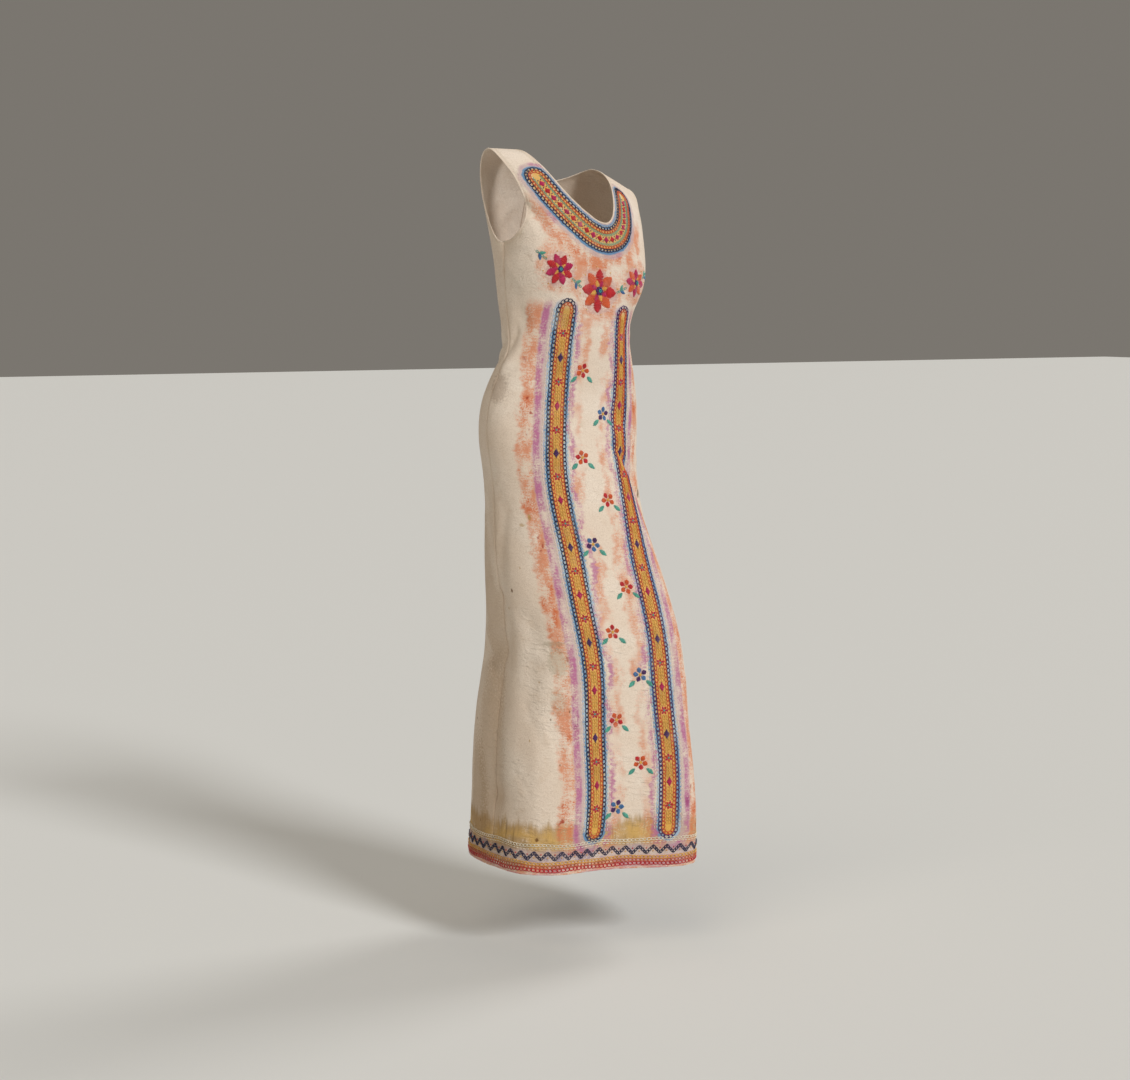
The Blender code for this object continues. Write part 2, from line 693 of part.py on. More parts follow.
def zip_slider(name, frame, material):
    """Slider with its lug, resting over the teeth at the top of the zip."""
    plate, lug, hole = slider_shape()
    vertices, faces = slab(plate, SLIDER_LIFT, SLIDER_LIFT + SLIDER_THICK)
    slider = body_of(name, placed(vertices, frame), faces, material)
    vertices, faces = upright(lug, LUG_WIDTH / 2.0)
    lug_body = body_of("helper_lug", placed(vertices, frame), faces, material)
    vertices, faces = upright(hole, LUG_WIDTH)
    hole_body = body_of("helper_eye", placed(vertices, frame), faces, material)
    joined(slider, lug_body, "UNION")
    joined(slider, hole_body, "DIFFERENCE")
    return slider


def zip_pull(name, frame, material):
    """Pull tab: a rod through the slider's eye, two arms and a rounded tab hanging below."""
    place, across, down, out = frame
    lift = SLIDER_LIFT + SLIDER_THICK + LUG_RISE
    pivot = place + out * lift
    half = PULL_WIDTH / 2.0
    outer = [(half, -PULL_ROD_RADIUS), (half, PULL_LENGTH - half)]
    outer += arc(0.0, PULL_LENGTH - half, half, 0.0, math.pi, PULL_BENDS)[1:-1]
    outer += [(-half, PULL_LENGTH - half), (-half, -PULL_ROD_RADIUS)]
    window_half = PULL_WINDOW_WIDTH / 2.0
    near = PULL_ROD_RADIUS
    far = PULL_ROD_RADIUS + PULL_WINDOW_LENGTH
    window = [(-window_half, near), (window_half, near), (window_half, far), (-window_half, far)]
    tilt_down = down * math.cos(PULL_TILT) - out * math.sin(PULL_TILT)
    tilt_out = out * math.cos(PULL_TILT) + down * math.sin(PULL_TILT)
    own = (np.zeros(3), across, tilt_down, tilt_out)
    vertices, faces = slab(outer, -PULL_THICK / 2.0, PULL_THICK / 2.0)
    pull = body_of(name, placed(vertices, own), faces, material)
    vertices, faces = slab(window, -PULL_THICK, PULL_THICK)
    cutter = body_of("helper_window", placed(vertices, own), faces, material)
    joined(pull, cutter, "DIFFERENCE")
    pull.location = pivot
    cutter.location = pivot
    return pull


def build():
    """Empties the scene and makes every piece."""
    for thing in list(bpy.data.objects):
        bpy.data.objects.remove(thing, do_unlink=True)
    canvas_front = finish("canvas_front", CANVAS_COLOUR, CANVAS_ROUGHNESS, 0.0)
    canvas_left = finish("canvas_back_left", CANVAS_COLOUR, CANVAS_ROUGHNESS, 0.0)
    canvas_right = finish("canvas_back_right", CANVAS_COLOUR, CANVAS_ROUGHNESS, 0.0)
    tape = finish("zip_tape", TAPE_COLOUR, TAPE_ROUGHNESS, 0.0)
    slider_metal = finish("slider_metal", METAL_COLOUR, SLIDER_ROUGHNESS, 1.0)
    pull_metal = finish("pull_metal", METAL_COLOUR, PULL_ROUGHNESS, 1.0)
    panel("front_panel", front_outline(), canvas_front)
    panel("back_panel_left", back_outline(1.0), canvas_left, zip_margin(1.0))
    panel("back_panel_right", back_outline(-1.0), canvas_right, zip_margin(-1.0))
    zip_chain("zip_chain", tape)
    frame = zip_frame()
    zip_slider("zip_slider", frame, slider_metal)
    zip_pull("zip_pull", frame, pull_metal)


build()
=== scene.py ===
"""The worn dress dressed with its cloth, seams, zip teeth and needlework.

Metres, +Z up, the front of the skirt faces -Y and the wearer's left is +X. Cloth, thread and dye are
placed by angle round the body and by run, the distance walked up from the hem.
"""

import math

import bpy
import numpy as np
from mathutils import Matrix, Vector
from mathutils.geometry import delaunay_2d_cdt


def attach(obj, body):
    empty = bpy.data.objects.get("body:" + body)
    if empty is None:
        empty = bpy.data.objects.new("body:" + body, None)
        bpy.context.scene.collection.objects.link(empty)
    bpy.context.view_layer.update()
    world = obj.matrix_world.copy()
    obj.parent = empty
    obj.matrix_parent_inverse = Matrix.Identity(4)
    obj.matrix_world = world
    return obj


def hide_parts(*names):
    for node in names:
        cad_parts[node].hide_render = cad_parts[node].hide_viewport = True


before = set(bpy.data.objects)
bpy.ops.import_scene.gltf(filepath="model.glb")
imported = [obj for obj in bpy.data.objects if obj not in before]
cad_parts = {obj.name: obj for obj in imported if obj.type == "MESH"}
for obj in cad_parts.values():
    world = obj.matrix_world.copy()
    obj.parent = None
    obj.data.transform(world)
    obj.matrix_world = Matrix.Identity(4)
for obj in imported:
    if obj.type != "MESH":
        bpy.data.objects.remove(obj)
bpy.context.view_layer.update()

# Cloth
WALL = 0.0012
SEAM_GAP = 0.0003
CELL = 0.006
PLAN_RADIUS = 0.16

# Neckline, as distances from the shoulder line and from centre front or centre back
NECK_HALF_WIDTH = 0.094
FRONT_NECK_LEVEL = -0.110
BACK_NECK_LEVEL = -0.022
NECK_ROUND = 2.0
BACK_NECK_ROUND = 2.2
NECK_ASIDE_TOP = -0.014
NECK_ASIDE_BOTTOM = 0.004
NECK_ASIDE_BEND = 6.0
NECK_BENDS = 97

# Armholes
SHOULDER_TIP = 0.173
UNDERARM_LEVEL = -0.166
FRONT_ARMHOLE_ROUND = 2.2
BACK_ARMHOLE_ROUND = 2.1
# The right armhole is drawn forward and open, the left one hangs a little closed.
RIGHT_SCOOP = math.radians(27.0)
LEFT_SCOOP = math.radians(-6.0)
SCOOP_BEND = 1.5
ARMHOLE_BENDS = 61

# Centre-back zip
ZIP_END_LEVEL = -0.520
ZIP_SLOT_HALF = 0.0023
ZIP_TAPE_HALF = 0.0130
ZIP_TAPE_WALL = 0.0008
ZIP_BELOW_NECK = 0.010
ZIP_CELL = 0.020

NECK_ROOM = 0.4

# Level cuts through the worn dress, hem first. Level is the height on the dress's middle line, aside and
# forward place the middle of the cut, right to back are its half widths, square fills its corners,
# turn is its twist in degrees, lean drops it toward the wearer's left and slope drops it toward both sides.
SECTION_COLUMNS = (
    "level", "aside", "forward", "right", "left", "front", "back", "square", "turn", "lean", "slope",
)
SECTIONS = (
    (-1.305, 0.006, -0.085, 0.207, 0.185, 0.168, 0.195, 0.050, 0.0, 0.00, 0.000),
    (-1.180, 0.011, -0.083, 0.206, 0.180, 0.173, 0.192, 0.045, 0.0, 0.00, 0.000),
    (-1.040, 0.012, -0.070, 0.195, 0.180, 0.172, 0.191, 0.035, 0.0, 0.00, 0.000),
    (-0.890, 0.010, -0.052, 0.166, 0.188, 0.170, 0.178, 0.025, 0.0, 0.00, 0.000),
    (-0.740, 0.006, -0.030, 0.163, 0.170, 0.142, 0.153, 0.010, 0.0, 0.00, 0.000),
    (-0.590, -0.004, -0.017, 0.154, 0.153, 0.116, 0.137, 0.000, 1.0, 0.00, 0.000),
    (-0.510, -0.005, -0.016, 0.166, 0.159, 0.100, 0.131, 0.000, 2.0, 0.00, 0.000),
    (-0.435, -0.002, -0.019, 0.166, 0.158, 0.088, 0.116, 0.000, 4.0, 0.02, 0.000),
    (-0.350, 0.000, -0.022, 0.137, 0.141, 0.090, 0.095, 0.000, 6.0, 0.05, 0.000),
    (-0.265, 0.000, -0.012, 0.134, 0.138, 0.101, 0.102, 0.000, 8.0, 0.10, 0.000),
    (-0.200, 0.000, -0.005, 0.138, 0.150, 0.104, 0.106, 0.000, 10.0, 0.14, 0.010),
    (-0.150, 0.000, 0.000, 0.146, 0.172, 0.114, 0.107, 0.000, 10.0, 0.17, 0.040),
    (-0.105, 0.000, 0.000, 0.160, 0.185, 0.115, 0.100, 0.000, 10.0, 0.18, 0.090),
    (-0.060, 0.000, 0.000, 0.177, 0.190, 0.101, 0.086, 0.000, 10.0, 0.19, 0.140),
    (-0.022, 0.000, 0.000, 0.190, 0.191, 0.080, 0.066, 0.000, 10.0, 0.19, 0.175),
    (0.004, 0.000, 0.000, 0.198, 0.198, 0.052, 0.044, 0.000, 10.0, 0.19, 0.188),
    (0.017, 0.000, 0.000, 0.200, 0.200, 0.027, 0.023, 0.000, 10.0, 0.19, 0.188),
    (0.022, 0.000, 0.000, 0.200, 0.200, 0.000, 0.000, 0.000, 10.0, 0.19, 0.188),
)

# Fullness in the cloth: the two sides of the bust, the front of the skirt low at the left, and the hollow
# beside it.
# Angle is in degrees round from centre front toward the wearer's left, out is how far the cloth stands out.
SWELL_COLUMNS = ("angle", "level", "spread", "above", "below", "out")
SWELLS = (
    (44.0, -0.205, 30.0, 0.075, 0.060, 0.030),
    (-44.0, -0.205, 30.0, 0.075, 0.060, 0.030),
    (28.0, -1.250, 17.0, 0.550, 0.300, 0.035),
    (-15.0, -1.310, 24.0, 0.380, 0.300, -0.030),
)

# Folds, each a soft line from a start to an end. Rise is how far it stands out, less than 0 is a trough.
FOLD_COLUMNS = (
    "start_angle", "start_level", "end_angle", "end_level", "half_width", "start_rise", "end_rise",
)
FOLDS = (
    # from under the right armhole toward the bust
    (-86.0, -0.176, -62.0, -0.184, 0.018, -0.0060, -0.0030),
    # from the front of the right armhole toward the neckline
    (-56.0, -0.095, -46.0, -0.118, 0.016, -0.0040, -0.0015),
    # drawn in at the waist on the right
    (-70.0, -0.303, -97.0, -0.352, 0.023, -0.0050, -0.0040),
    (-84.0, -0.378, -58.0, -0.396, 0.020, 0.0030, 0.0010),
    # across the left hip and down the front of the skirt
    (20.0, -0.470, 52.0, -0.560, 0.026, -0.0050, -0.0040),
    (34.0, -0.560, 62.0, -0.700, 0.028, -0.0050, -0.0020),
    # long soft troughs in the right of the skirt
    (-64.0, -0.860, -70.0, -1.200, 0.032, -0.0050, -0.0060),
    (-44.0, -1.020, -50.0, -1.310, 0.030, -0.0030, -0.0060),
    # notch low at the back right
    (-92.0, -0.905, -112.0, -0.930, 0.022, -0.0080, -0.0060),
    # flutes down the back
    (122.0, -0.700, 126.0, -1.310, 0.036, -0.0030, -0.0140),
    (148.0, -0.640, 150.0, -1.310, 0.038, 0.0020, 0.0130),
    (171.0, -0.760, 173.0, -1.310, 0.034, -0.0020, -0.0120),
    (-166.0, -0.620, -163.0, -1.310, 0.036, 0.0020, 0.0110),
    (-143.0, -0.700, -140.0, -1.310, 0.038, -0.0020, -0.0150),
    (-119.0, -0.820, -117.0, -1.310, 0.032, 0.0010, 0.0030),
    # drawn across the back waist
    (150.0, -0.335, -160.0, -0.345, 0.016, -0.0040, -0.0030),
    (-118.0, -0.378, -152.0, -0.392, 0.018, -0.0030, -0.0040),
)

SMALL_ANGLE = 0.001
SMALL_RUN = 0.0005
RIDGE_BLEND = 0.030
RIDGE_SOFT = 0.020
LADDER_STEPS = 1200
LEAST_REACH = 0.09
LEAST_LENGTH = 1e-6
LEAST_SQUARE = 1e-12
FAR_AWAY = 1e9

# Rows of points that fill a panel, as shares of a cell, and the row beside its edge
FIRST_ROW = 0.7
ROW_STEP = 0.87
ROW_SHIFT = 0.5
FILL_ROOM = 0.45
EDGE_ROW = 0.0022
EDGE_ROW_ROOM = 0.8
EDGE_DROP = 0.0006
POINT_TOLERANCE = 1e-7


def named(columns, rows):
    """The columns of a table by their names."""
    table = np.array(rows, float)
    return {name: table[:, place] for place, name in enumerate(columns)}


SECTION = named(SECTION_COLUMNS, SECTIONS)
SWELL = named(SWELL_COLUMNS, SWELLS)
FOLD = named(FOLD_COLUMNS, FOLDS)


def section_runs():
    """Distance walked up the front from the hem to each section."""
    up = np.diff(SECTION["level"])
    along = np.diff(SECTION["front"])
    return np.concatenate([[0.0], np.cumsum(np.hypot(up, along))])


RUNS = section_runs()
RUN_END = float(RUNS[-1])


def spline_bends(x, y):
    """Second derivatives of the natural cubic through the points."""
    count = len(x)
    step = np.diff(x)
    system = np.zeros((count, count))
    target = np.zeros((count, y.shape[1]))
    system[0, 0] = 1.0
    system[-1, -1] = 1.0
    for i in range(1, count - 1):
        system[i, i - 1] = step[i - 1]
        system[i, i] = 2.0 * (step[i - 1] + step[i])
        system[i, i + 1] = step[i]
        rise_after = (y[i + 1] - y[i]) / step[i]
        rise_before = (y[i] - y[i - 1]) / step[i - 1]
        target[i] = 6.0 * (rise_after - rise_before)
    return np.linalg.solve(system, target)


TABLE = np.array(SECTIONS, float)
BENDS = spline_bends(RUNS, TABLE)


def section_at(run):
    """The section's values at any run, by name."""
    run = np.asarray(run, float)
    k = np.clip(np.searchsorted(RUNS, run) - 1, 0, len(RUNS) - 2)
    wide = (RUNS[k + 1] - RUNS[k])[..., None]
    before = (RUNS[k + 1] - run)[..., None]
    after = (run - RUNS[k])[..., None]
    value = (BENDS[k] * before ** 3 + BENDS[k + 1] * after ** 3) / (6.0 * wide)
    value = value + (TABLE[k] / wide - BENDS[k] * wide / 6.0) * before
    value = value + (TABLE[k + 1] / wide - BENDS[k + 1] * wide / 6.0) * after
    return {name: value[..., place] for place, name in enumerate(SECTION_COLUMNS)}


LADDER = np.linspace(0.0, RUN_END, LADDER_STEPS)
LADDER_LEVELS = np.maximum.accumulate(section_at(LADDER)["level"])


def run_of(level):
    """The run at which the middle line reaches a level."""
    return np.interp(level, LADDER_LEVELS, LADDER)


def turned(degrees):
    """Degrees brought between -180 and 180."""
    return (degrees + 180.0) % 360.0 - 180.0


def wrapped(angle):
    """Radians brought between minus and plus half a turn."""
    return np.radians(turned(np.degrees(angle)))


def body_point(angle, run):
    """The smooth form of the worn dress, with angle in radians round from centre front."""
    angle, run = np.broadcast_arrays(np.asarray(angle, float), np.asarray(run, float))
    cut = section_at(run)
    sine = np.sin(angle)
    cosine = np.cos(angle)
    half = np.where(sine > 0.0, cut["left"], cut["right"])
    deep = np.maximum(np.where(cosine > 0.0, cut["front"], cut["back"]), 0.0)
    x = half * (sine + cut["square"] * np.sin(3.0 * angle)) / (1.0 - cut["square"])
    y = -deep * (cosine - cut["square"] * np.cos(3.0 * angle)) / (1.0 - cut["square"])
    degrees = np.degrees(angle)
    out = np.zeros_like(x)
    for row in range(len(SWELLS)):
        above = cut["level"] > SWELL["level"][row]
        tall = np.where(above, SWELL["above"][row], SWELL["below"][row])
        round_part = turned(degrees - SWELL["angle"][row]) / SWELL["spread"][row]
        tall_part = (cut["level"] - SWELL["level"][row]) / tall
        out = out + SWELL["out"][row] * np.exp(-round_part ** 2 - tall_part ** 2)
    size = np.maximum(np.hypot(x, y), LEAST_LENGTH)
    x = x * (1.0 + out / size)
    y = y * (1.0 + out / size)
    aside = np.sqrt(x * x + RIDGE_SOFT * RIDGE_SOFT) - RIDGE_SOFT
    z = cut["level"] - x * cut["lean"] - cut["slope"] * aside
    turn = np.radians(cut["turn"])
    across = cut["aside"] + x * np.cos(turn) - y * np.sin(turn)
    back = cut["forward"] + x * np.sin(turn) + y * np.cos(turn)
    return np.stack([across, back, z], -1)


def unit(vectors):
    """Vectors made one long."""
    return vectors / np.maximum(np.linalg.norm(vectors, axis=-1, keepdims=True), LEAST_SQUARE)


def facing(point_at, angle, run):
    """Outward direction of a surface, from its slopes round and up."""
    run = np.clip(run, SMALL_RUN, RUN_END - SMALL_RUN)
    round_way = point_at(angle + SMALL_ANGLE, run) - point_at(angle - SMALL_ANGLE, run)
    up_way = point_at(angle, run + SMALL_RUN) - point_at(angle, run - SMALL_RUN)
    return unit(np.cross(round_way, up_way))


def shifted(angle, run, along):
    """The angle that lies a distance along the surface from an angle, at the same run."""
    side = np.sign(along) * SMALL_ANGLE
    reach = np.linalg.norm(body_point(angle + side, run) - body_point(angle, run), axis=-1)
    return angle + along * SMALL_ANGLE / np.maximum(reach, LEAST_LENGTH)


# Outlines of the pieces, as points of angle and run

def steps(start, end, cell):
    """Even places from start up to but not onto the end, one about every cell."""
    count = max(1, int(math.ceil(abs(end - start) / cell)))
    return np.linspace(start, end, count + 1)[:-1]


def side_seam(side, inset):
    """Points up a side seam, from the hem to the underarm, set in by half the seam gap."""
    run = np.append(steps(0.0, float(run_of(UNDERARM_LEVEL)), CELL), run_of(UNDERARM_LEVEL))
    angle = shifted(np.full(len(run), side * math.pi / 2.0), run, inset)
    return np.stack([angle, run], -1)


def armhole(side, to_back):
    """Points of an armhole edge from the underarm up to the shoulder line."""
    tip = math.pi / 2.0 - math.asin(SHOULDER_TIP / SECTION["left"][-1])
    roundness = BACK_ARMHOLE_ROUND if to_back else FRONT_ARMHOLE_ROUND
    bend = np.linspace(0.0, math.pi / 2.0, ARMHOLE_BENDS)[1:]
    down = np.cos(bend) ** (2.0 / roundness)
    opened = np.sin(bend) ** (2.0 / roundness)
    scoop = 0.0
    if not to_back:
        scoop = LEFT_SCOOP if side > 0.0 else RIGHT_SCOOP
    low = float(run_of(UNDERARM_LEVEL))
    high = RUN_END - SEAM_GAP / 2.0
    run = high + (low - high) * down
    turn = (tip + scoop * down ** SCOOP_BEND) * opened
    angle = side * (math.pi / 2.0 + turn) if to_back else side * (math.pi / 2.0 - turn)
    return np.stack([angle, run], -1)


def neck_curve(to_back, bend):
    """Points of the neckline, from the wearer's left shoulder at bend 0 to the right at bend pi."""
    low_level = BACK_NECK_LEVEL if to_back else FRONT_NECK_LEVEL
    roundness = BACK_NECK_ROUND if to_back else NECK_ROUND
    high = RUN_END - SEAM_GAP / 2.0
    low = float(run_of(low_level))
    depth = np.abs(np.sin(bend)) ** (2.0 / roundness)
    width = np.sign(np.cos(bend)) * np.abs(np.cos(bend)) ** (2.0 / roundness)
    run = high + (low - high) * depth
    bottom = 0.0 if to_back else NECK_ASIDE_BOTTOM
    aside = NECK_ASIDE_TOP + (bottom - NECK_ASIDE_TOP) * depth ** NECK_ASIDE_BEND
    sine = (NECK_HALF_WIDTH * width + aside) / SECTION["left"][-1]
    angle = np.arcsin(sine)
    if to_back:
        angle = math.pi - angle
    return np.stack([angle, run], -1)


def shoulder(side, to_back):
    """Points along one shoulder seam, from the armhole to the neckline, both ends left out."""
    tip = math.asin(SHOULDER_TIP / SECTION["left"][-1])
    neck = math.asin((NECK_HALF_WIDTH + side * NECK_ASIDE_TOP) / SECTION["left"][-1])
    angle = side * steps(tip, neck, CELL / SECTION["left"][-1])[1:]
    if to_back:
        angle = math.pi - angle
    return np.stack([angle, np.full(len(angle), RUN_END - SEAM_GAP / 2.0)], -1)


def hem(start, end):
    """Points along the hem between two angles, both ends left out."""
    angle = steps(start, end, CELL / PLAN_RADIUS)[1:]
    return np.stack([angle, np.zeros(len(angle))], -1)


def front_outline():
    """The front, cut in one piece: hem, left side, left armhole, shoulder, neck, and back down the right."""
    left = side_seam(1.0, -SEAM_GAP / 2.0)
    right = side_seam(-1.0, SEAM_GAP / 2.0)
    return np.concatenate([
        hem(right[0, 0], left[0, 0]),
        left,
        armhole(1.0, False),
        shoulder(1.0, False),
        neck_curve(False, np.linspace(0.0, math.pi, NECK_BENDS)),
        shoulder(-1.0, False)[::-1],
        armhole(-1.0, False)[::-1],
        right[::-1],
    ])


def zip_runs():
    """Runs shared by the zip and the edges beside it, from the zip's lower end to its top."""
    low = float(run_of(ZIP_END_LEVEL))
    high = float(run_of(BACK_NECK_LEVEL)) - ZIP_BELOW_NECK
    return np.append(steps(low, high, ZIP_CELL), high)


def beside_middle(side, run, away):
    """Points beside the centre back, at a distance from the middle."""
    angle = shifted(np.full(len(run), side * math.pi), run, -side * away)
    return np.stack([angle, run], -1)


def centre_back(side):
    """The centre-back edge of one half: seamed below the zip, standing back from the teeth beside it."""
    below = steps(0.0, float(run_of(ZIP_END_LEVEL)), CELL)
    beside = np.append(zip_runs(), run_of(BACK_NECK_LEVEL))
    seamed = beside_middle(side, below, np.full(len(below), SEAM_GAP / 2.0))
    slot = beside_middle(side, beside, np.full(len(beside), ZIP_SLOT_HALF))
    return np.concatenate([seamed, slot])


def back_outline(side):
    """One half of the back, for the wearer's left (1) or right (-1)."""
    seam = side_seam(side, side * SEAM_GAP / 2.0)
    middle = centre_back(side)
    bends = np.linspace(0.0, math.pi, NECK_BENDS)
    neck = neck_curve(True, bends)
    if side < 0.0:
        neck = neck[::-1] - [2.0 * math.pi, 0.0]
    edge = abs(middle[-1, 0])
    neck = neck[np.abs(neck[:, 0]) < edge - CELL / PLAN_RADIUS * NECK_ROOM]
    hole = armhole(side, True)
    strap = shoulder(side, True)
    if side < 0.0:
        strap = strap - [2.0 * math.pi, 0.0]
    points = np.concatenate([
        hem(seam[0, 0], middle[0, 0]),
        middle,
        neck[::-1],
        strap[::-1],
        hole[::-1],
        seam[::-1],
    ])
    return points if side > 0.0 else points[::-1]


# Small folds of the worn cloth, on top of the large ones. Same columns as the large folds.
FINE_FOLDS = (
    # under the right arm, toward the bust
    (-88.0, -0.163, -56.0, -0.158, 0.0095, -0.0046, -0.0018),
    (-56.0, -0.090, -44.0, -0.140, 0.0130, -0.0042, -0.0020),
    (-84.0, -0.205, -66.0, -0.240, 0.0085, 0.0020, 0.0008),
    # right waist
    (-78.0, -0.321, -92.0, -0.376, 0.0090, -0.0032, -0.0018),
    (-70.0, -0.340, -84.0, -0.392, 0.0100, 0.0018, 0.0012),
    (-60.0, -0.372, -86.0, -0.404, 0.0080, -0.0014, -0.0024),
    # left waist and hip
    (13.0, -0.515, 46.0, -0.593, 0.0110, -0.0026, -0.0040),
    (22.0, -0.534, 58.0, -0.640, 0.0100, -0.0016, -0.0034),
    (28.0, -0.500, 60.0, -0.560, 0.0120, 0.0014, 0.0026),
    (60.0, -0.330, 84.0, -0.372, 0.0095, -0.0026, -0.0016),
    (66.0, -0.300, 50.0, -0.286, 0.0070, -0.0010, -0.0006),
    # bend of the hips
    (-34.0, -0.452, -6.0, -0.466, 0.0100, -0.0010, -0.0006),
    (-62.0, -0.470, -40.0, -0.478, 0.0090, -0.0010, -0.0008),
    # soft troughs and the crease across the right of the skirt
    (-76.0, -0.640, -87.0, -0.800, 0.0160, -0.0020, -0.0064),
    (-88.0, -0.815, -87.0, -1.170, 0.0175, -0.0080, -0.0070),
    (-87.0, -1.170, -84.0, -1.305, 0.0180, -0.0062, -0.0026),
    (-71.0, -0.860, -69.0, -1.230, 0.0180, 0.0034, 0.0018),
    (-106.0, -0.800, -106.0, -1.260, 0.0200, 0.0034, 0.0020),
    (-56.0, -0.893, -38.0, -0.896, 0.0075, -0.0030, -0.0018),
    (-62.0, -0.905, -44.0, -0.925, 0.0080, 0.0010, 0.0008),
    (-66.0, -0.995, -52.0, -1.060, 0.0070, -0.0009, -0.0007),
    (-50.0, -1.040, -40.0, -1.120, 0.0080, 0.0009, 0.0006),
    (-70.0, -1.120, -60.0, -1.160, 0.0060, -0.0008, -0.0006),
    (-114.0, -0.900, -92.0, -0.960, 0.0100, -0.0046, -0.0022),
    (-112.0, -0.876, -96.0, -0.925, 0.0100, 0.0022, 0.0010),
    # front of the forward leg
    (24.0, -0.880, 44.0, -0.872, 0.0080, -0.0010, -0.0008),
    (36.0, -0.960, 52.0, -1.010, 0.0090, 0.0010, 0.0006),
    # back waist, seat and skirt
    (158.0, -0.296, 176.0, -0.312, 0.0090, -0.0030, -0.0012),
    (-160.0, -0.322, -176.0, -0.306, 0.0090, -0.0026, -0.0010),
    (104.0, -0.340, 142.0, -0.372, 0.0100, -0.0048, -0.0016),
    (-100.0, -0.334, -140.0, -0.360, 0.0100, -0.0052, -0.0018),
    (-104.0, -0.366, -132.0, -0.392, 0.0090, -0.0026, -0.0010),
    (150.0, -0.616, 116.0, -0.646, 0.0120, -0.0044, -0.0028),
    (-154.0, -0.604, -120.0, -0.640, 0.0120, -0.0048, -0.0030),
    (-146.0, -0.640, -126.0, -0.664, 0.0100, -0.0020, -0.0012),
    (136.0, -0.760, 139.0, -1.300, 0.0180, -0.0030, -0.0096),
    (-153.0, -0.700, -149.0, -1.300, 0.0170, -0.0028, -0.0088),
    (162.0, -0.860, 163.0, -1.300, 0.0170, 0.0022, 0.0062),
    (-130.0, -0.820, -128.0, -1.300, 0.0170, 0.0020, 0.0064),
    (101.0, -0.840, 104.0, -1.300, 0.0180, -0.0026, -0.0078),
    (120.0, -0.960, 121.0, -1.300, 0.0160, 0.0010, 0.0034),
    (-164.0, -0.080, -138.0, -0.160, 0.0120, -0.0022, -0.0010),
    (164.0, -0.090, 140.0, -0.166, 0.0120, -0.0020, -0.0010),
)
FINE = named(FOLD_COLUMNS, FINE_FOLDS)

# Soft waves of the cloth: how many fit round and up, how far they stand out, and where they start
WAVE_COLUMNS = ("round", "up", "out", "start")
WAVES = (
    (3.0, 5.0, 0.0008, 0.4),
    (7.0, -9.0, 0.0005, 1.9),
    (13.0, 21.0, 0.00022, 3.1),
    (29.0, -43.0, 0.00012, 5.0),
    (47.0, 83.0, 0.00008, 0.7),
)
WAVE = named(WAVE_COLUMNS, WAVES)

FINE_FADE = 0.060


def line_rise(lines, angle, level):
    """How far a table of fold lines moves the cloth out at a place."""
    degrees = np.degrees(angle)
    rise = np.zeros_like(level)
    for row in range(len(lines["half_width"])):
        wide = turned(lines["end_angle"][row] - lines["start_angle"][row])
        end_x = np.radians(wide) * PLAN_RADIUS
        here_x = np.radians(turned(degrees - lines["start_angle"][row])) * PLAN_RADIUS
        tall = lines["end_level"][row] - lines["start_level"][row]
        here_y = level - lines["start_level"][row]
        part = np.clip((here_x * end_x + here_y * tall) / (end_x ** 2 + tall ** 2), 0.0, 1.0)
        away = np.hypot(here_x - part * end_x, here_y - part * tall)
        depth = lines["start_rise"][row] * (1.0 - part) + lines["end_rise"][row] * part
        rise = rise + depth * np.exp(-(away / lines["half_width"][row]) ** 2)
    return rise


def fine_rise(angle, run, level):
    """Small folds and soft waves, which die out at the shoulder ridge."""
    rise = line_rise(FINE, angle, level)
    for row in range(len(WAVES)):
        turn = WAVE["round"][row] * angle + WAVE["up"][row] * run / RUN_END * math.pi
        lively = 0.75 + 0.25 * np.sin(2.0 * angle + 7.0 * run + WAVE["start"][row])
        rise = rise + WAVE["out"][row] * lively * np.sin(turn + WAVE["start"][row])
    return rise * np.clip((RUN_END - run) / FINE_FADE, 0.0, 1.0)


def soft_point(angle, run):
    """The outer face of the cloth with all its folds."""
    angle, run = np.broadcast_arrays(np.asarray(angle, float), np.asarray(run, float))
    out = facing(body_point, angle, run)
    level = section_at(run)["level"]
    rise = line_rise(FOLD, angle, level) + fine_rise(angle, run, level)
    return body_point(angle, run) + out * rise[..., None]


def soft_facing(angle, run):
    """Outward direction of the cloth, the same from both sides of a shoulder seam."""
    angle, run = np.broadcast_arrays(np.asarray(angle, float), np.asarray(run, float))
    own = facing(soft_point, angle, run)
    other = facing(soft_point, math.pi - angle, run)
    near = np.clip(1.0 - (RUN_END - run) / RIDGE_BLEND, 0.0, 1.0)
    near = (near * near * (3.0 - 2.0 * near) / 2.0)[..., None]
    return unit(own * (1.0 - near) + other * near)


# Distance walked round the cloth from centre front, for the weave, the dye and the needlework

GRID_ANGLES = np.linspace(-math.pi, math.pi, 721)
GRID_RUNS = np.linspace(0.0, RUN_END, 281)
ANGLE_TRIES = 12
ANGLE_STEP = 0.01


def round_table():
    """Distance round the cloth from centre front at every grid place."""
    points = soft_point(GRID_ANGLES[None, :], GRID_RUNS[:, None])
    steps_round = np.linalg.norm(np.diff(points, axis=1), axis=2)
    walked = np.concatenate([np.zeros((len(GRID_RUNS), 1)), np.cumsum(steps_round, axis=1)], 1)
    middle = len(GRID_ANGLES) // 2
    return walked - walked[:, middle:middle + 1]


ROUND = round_table()


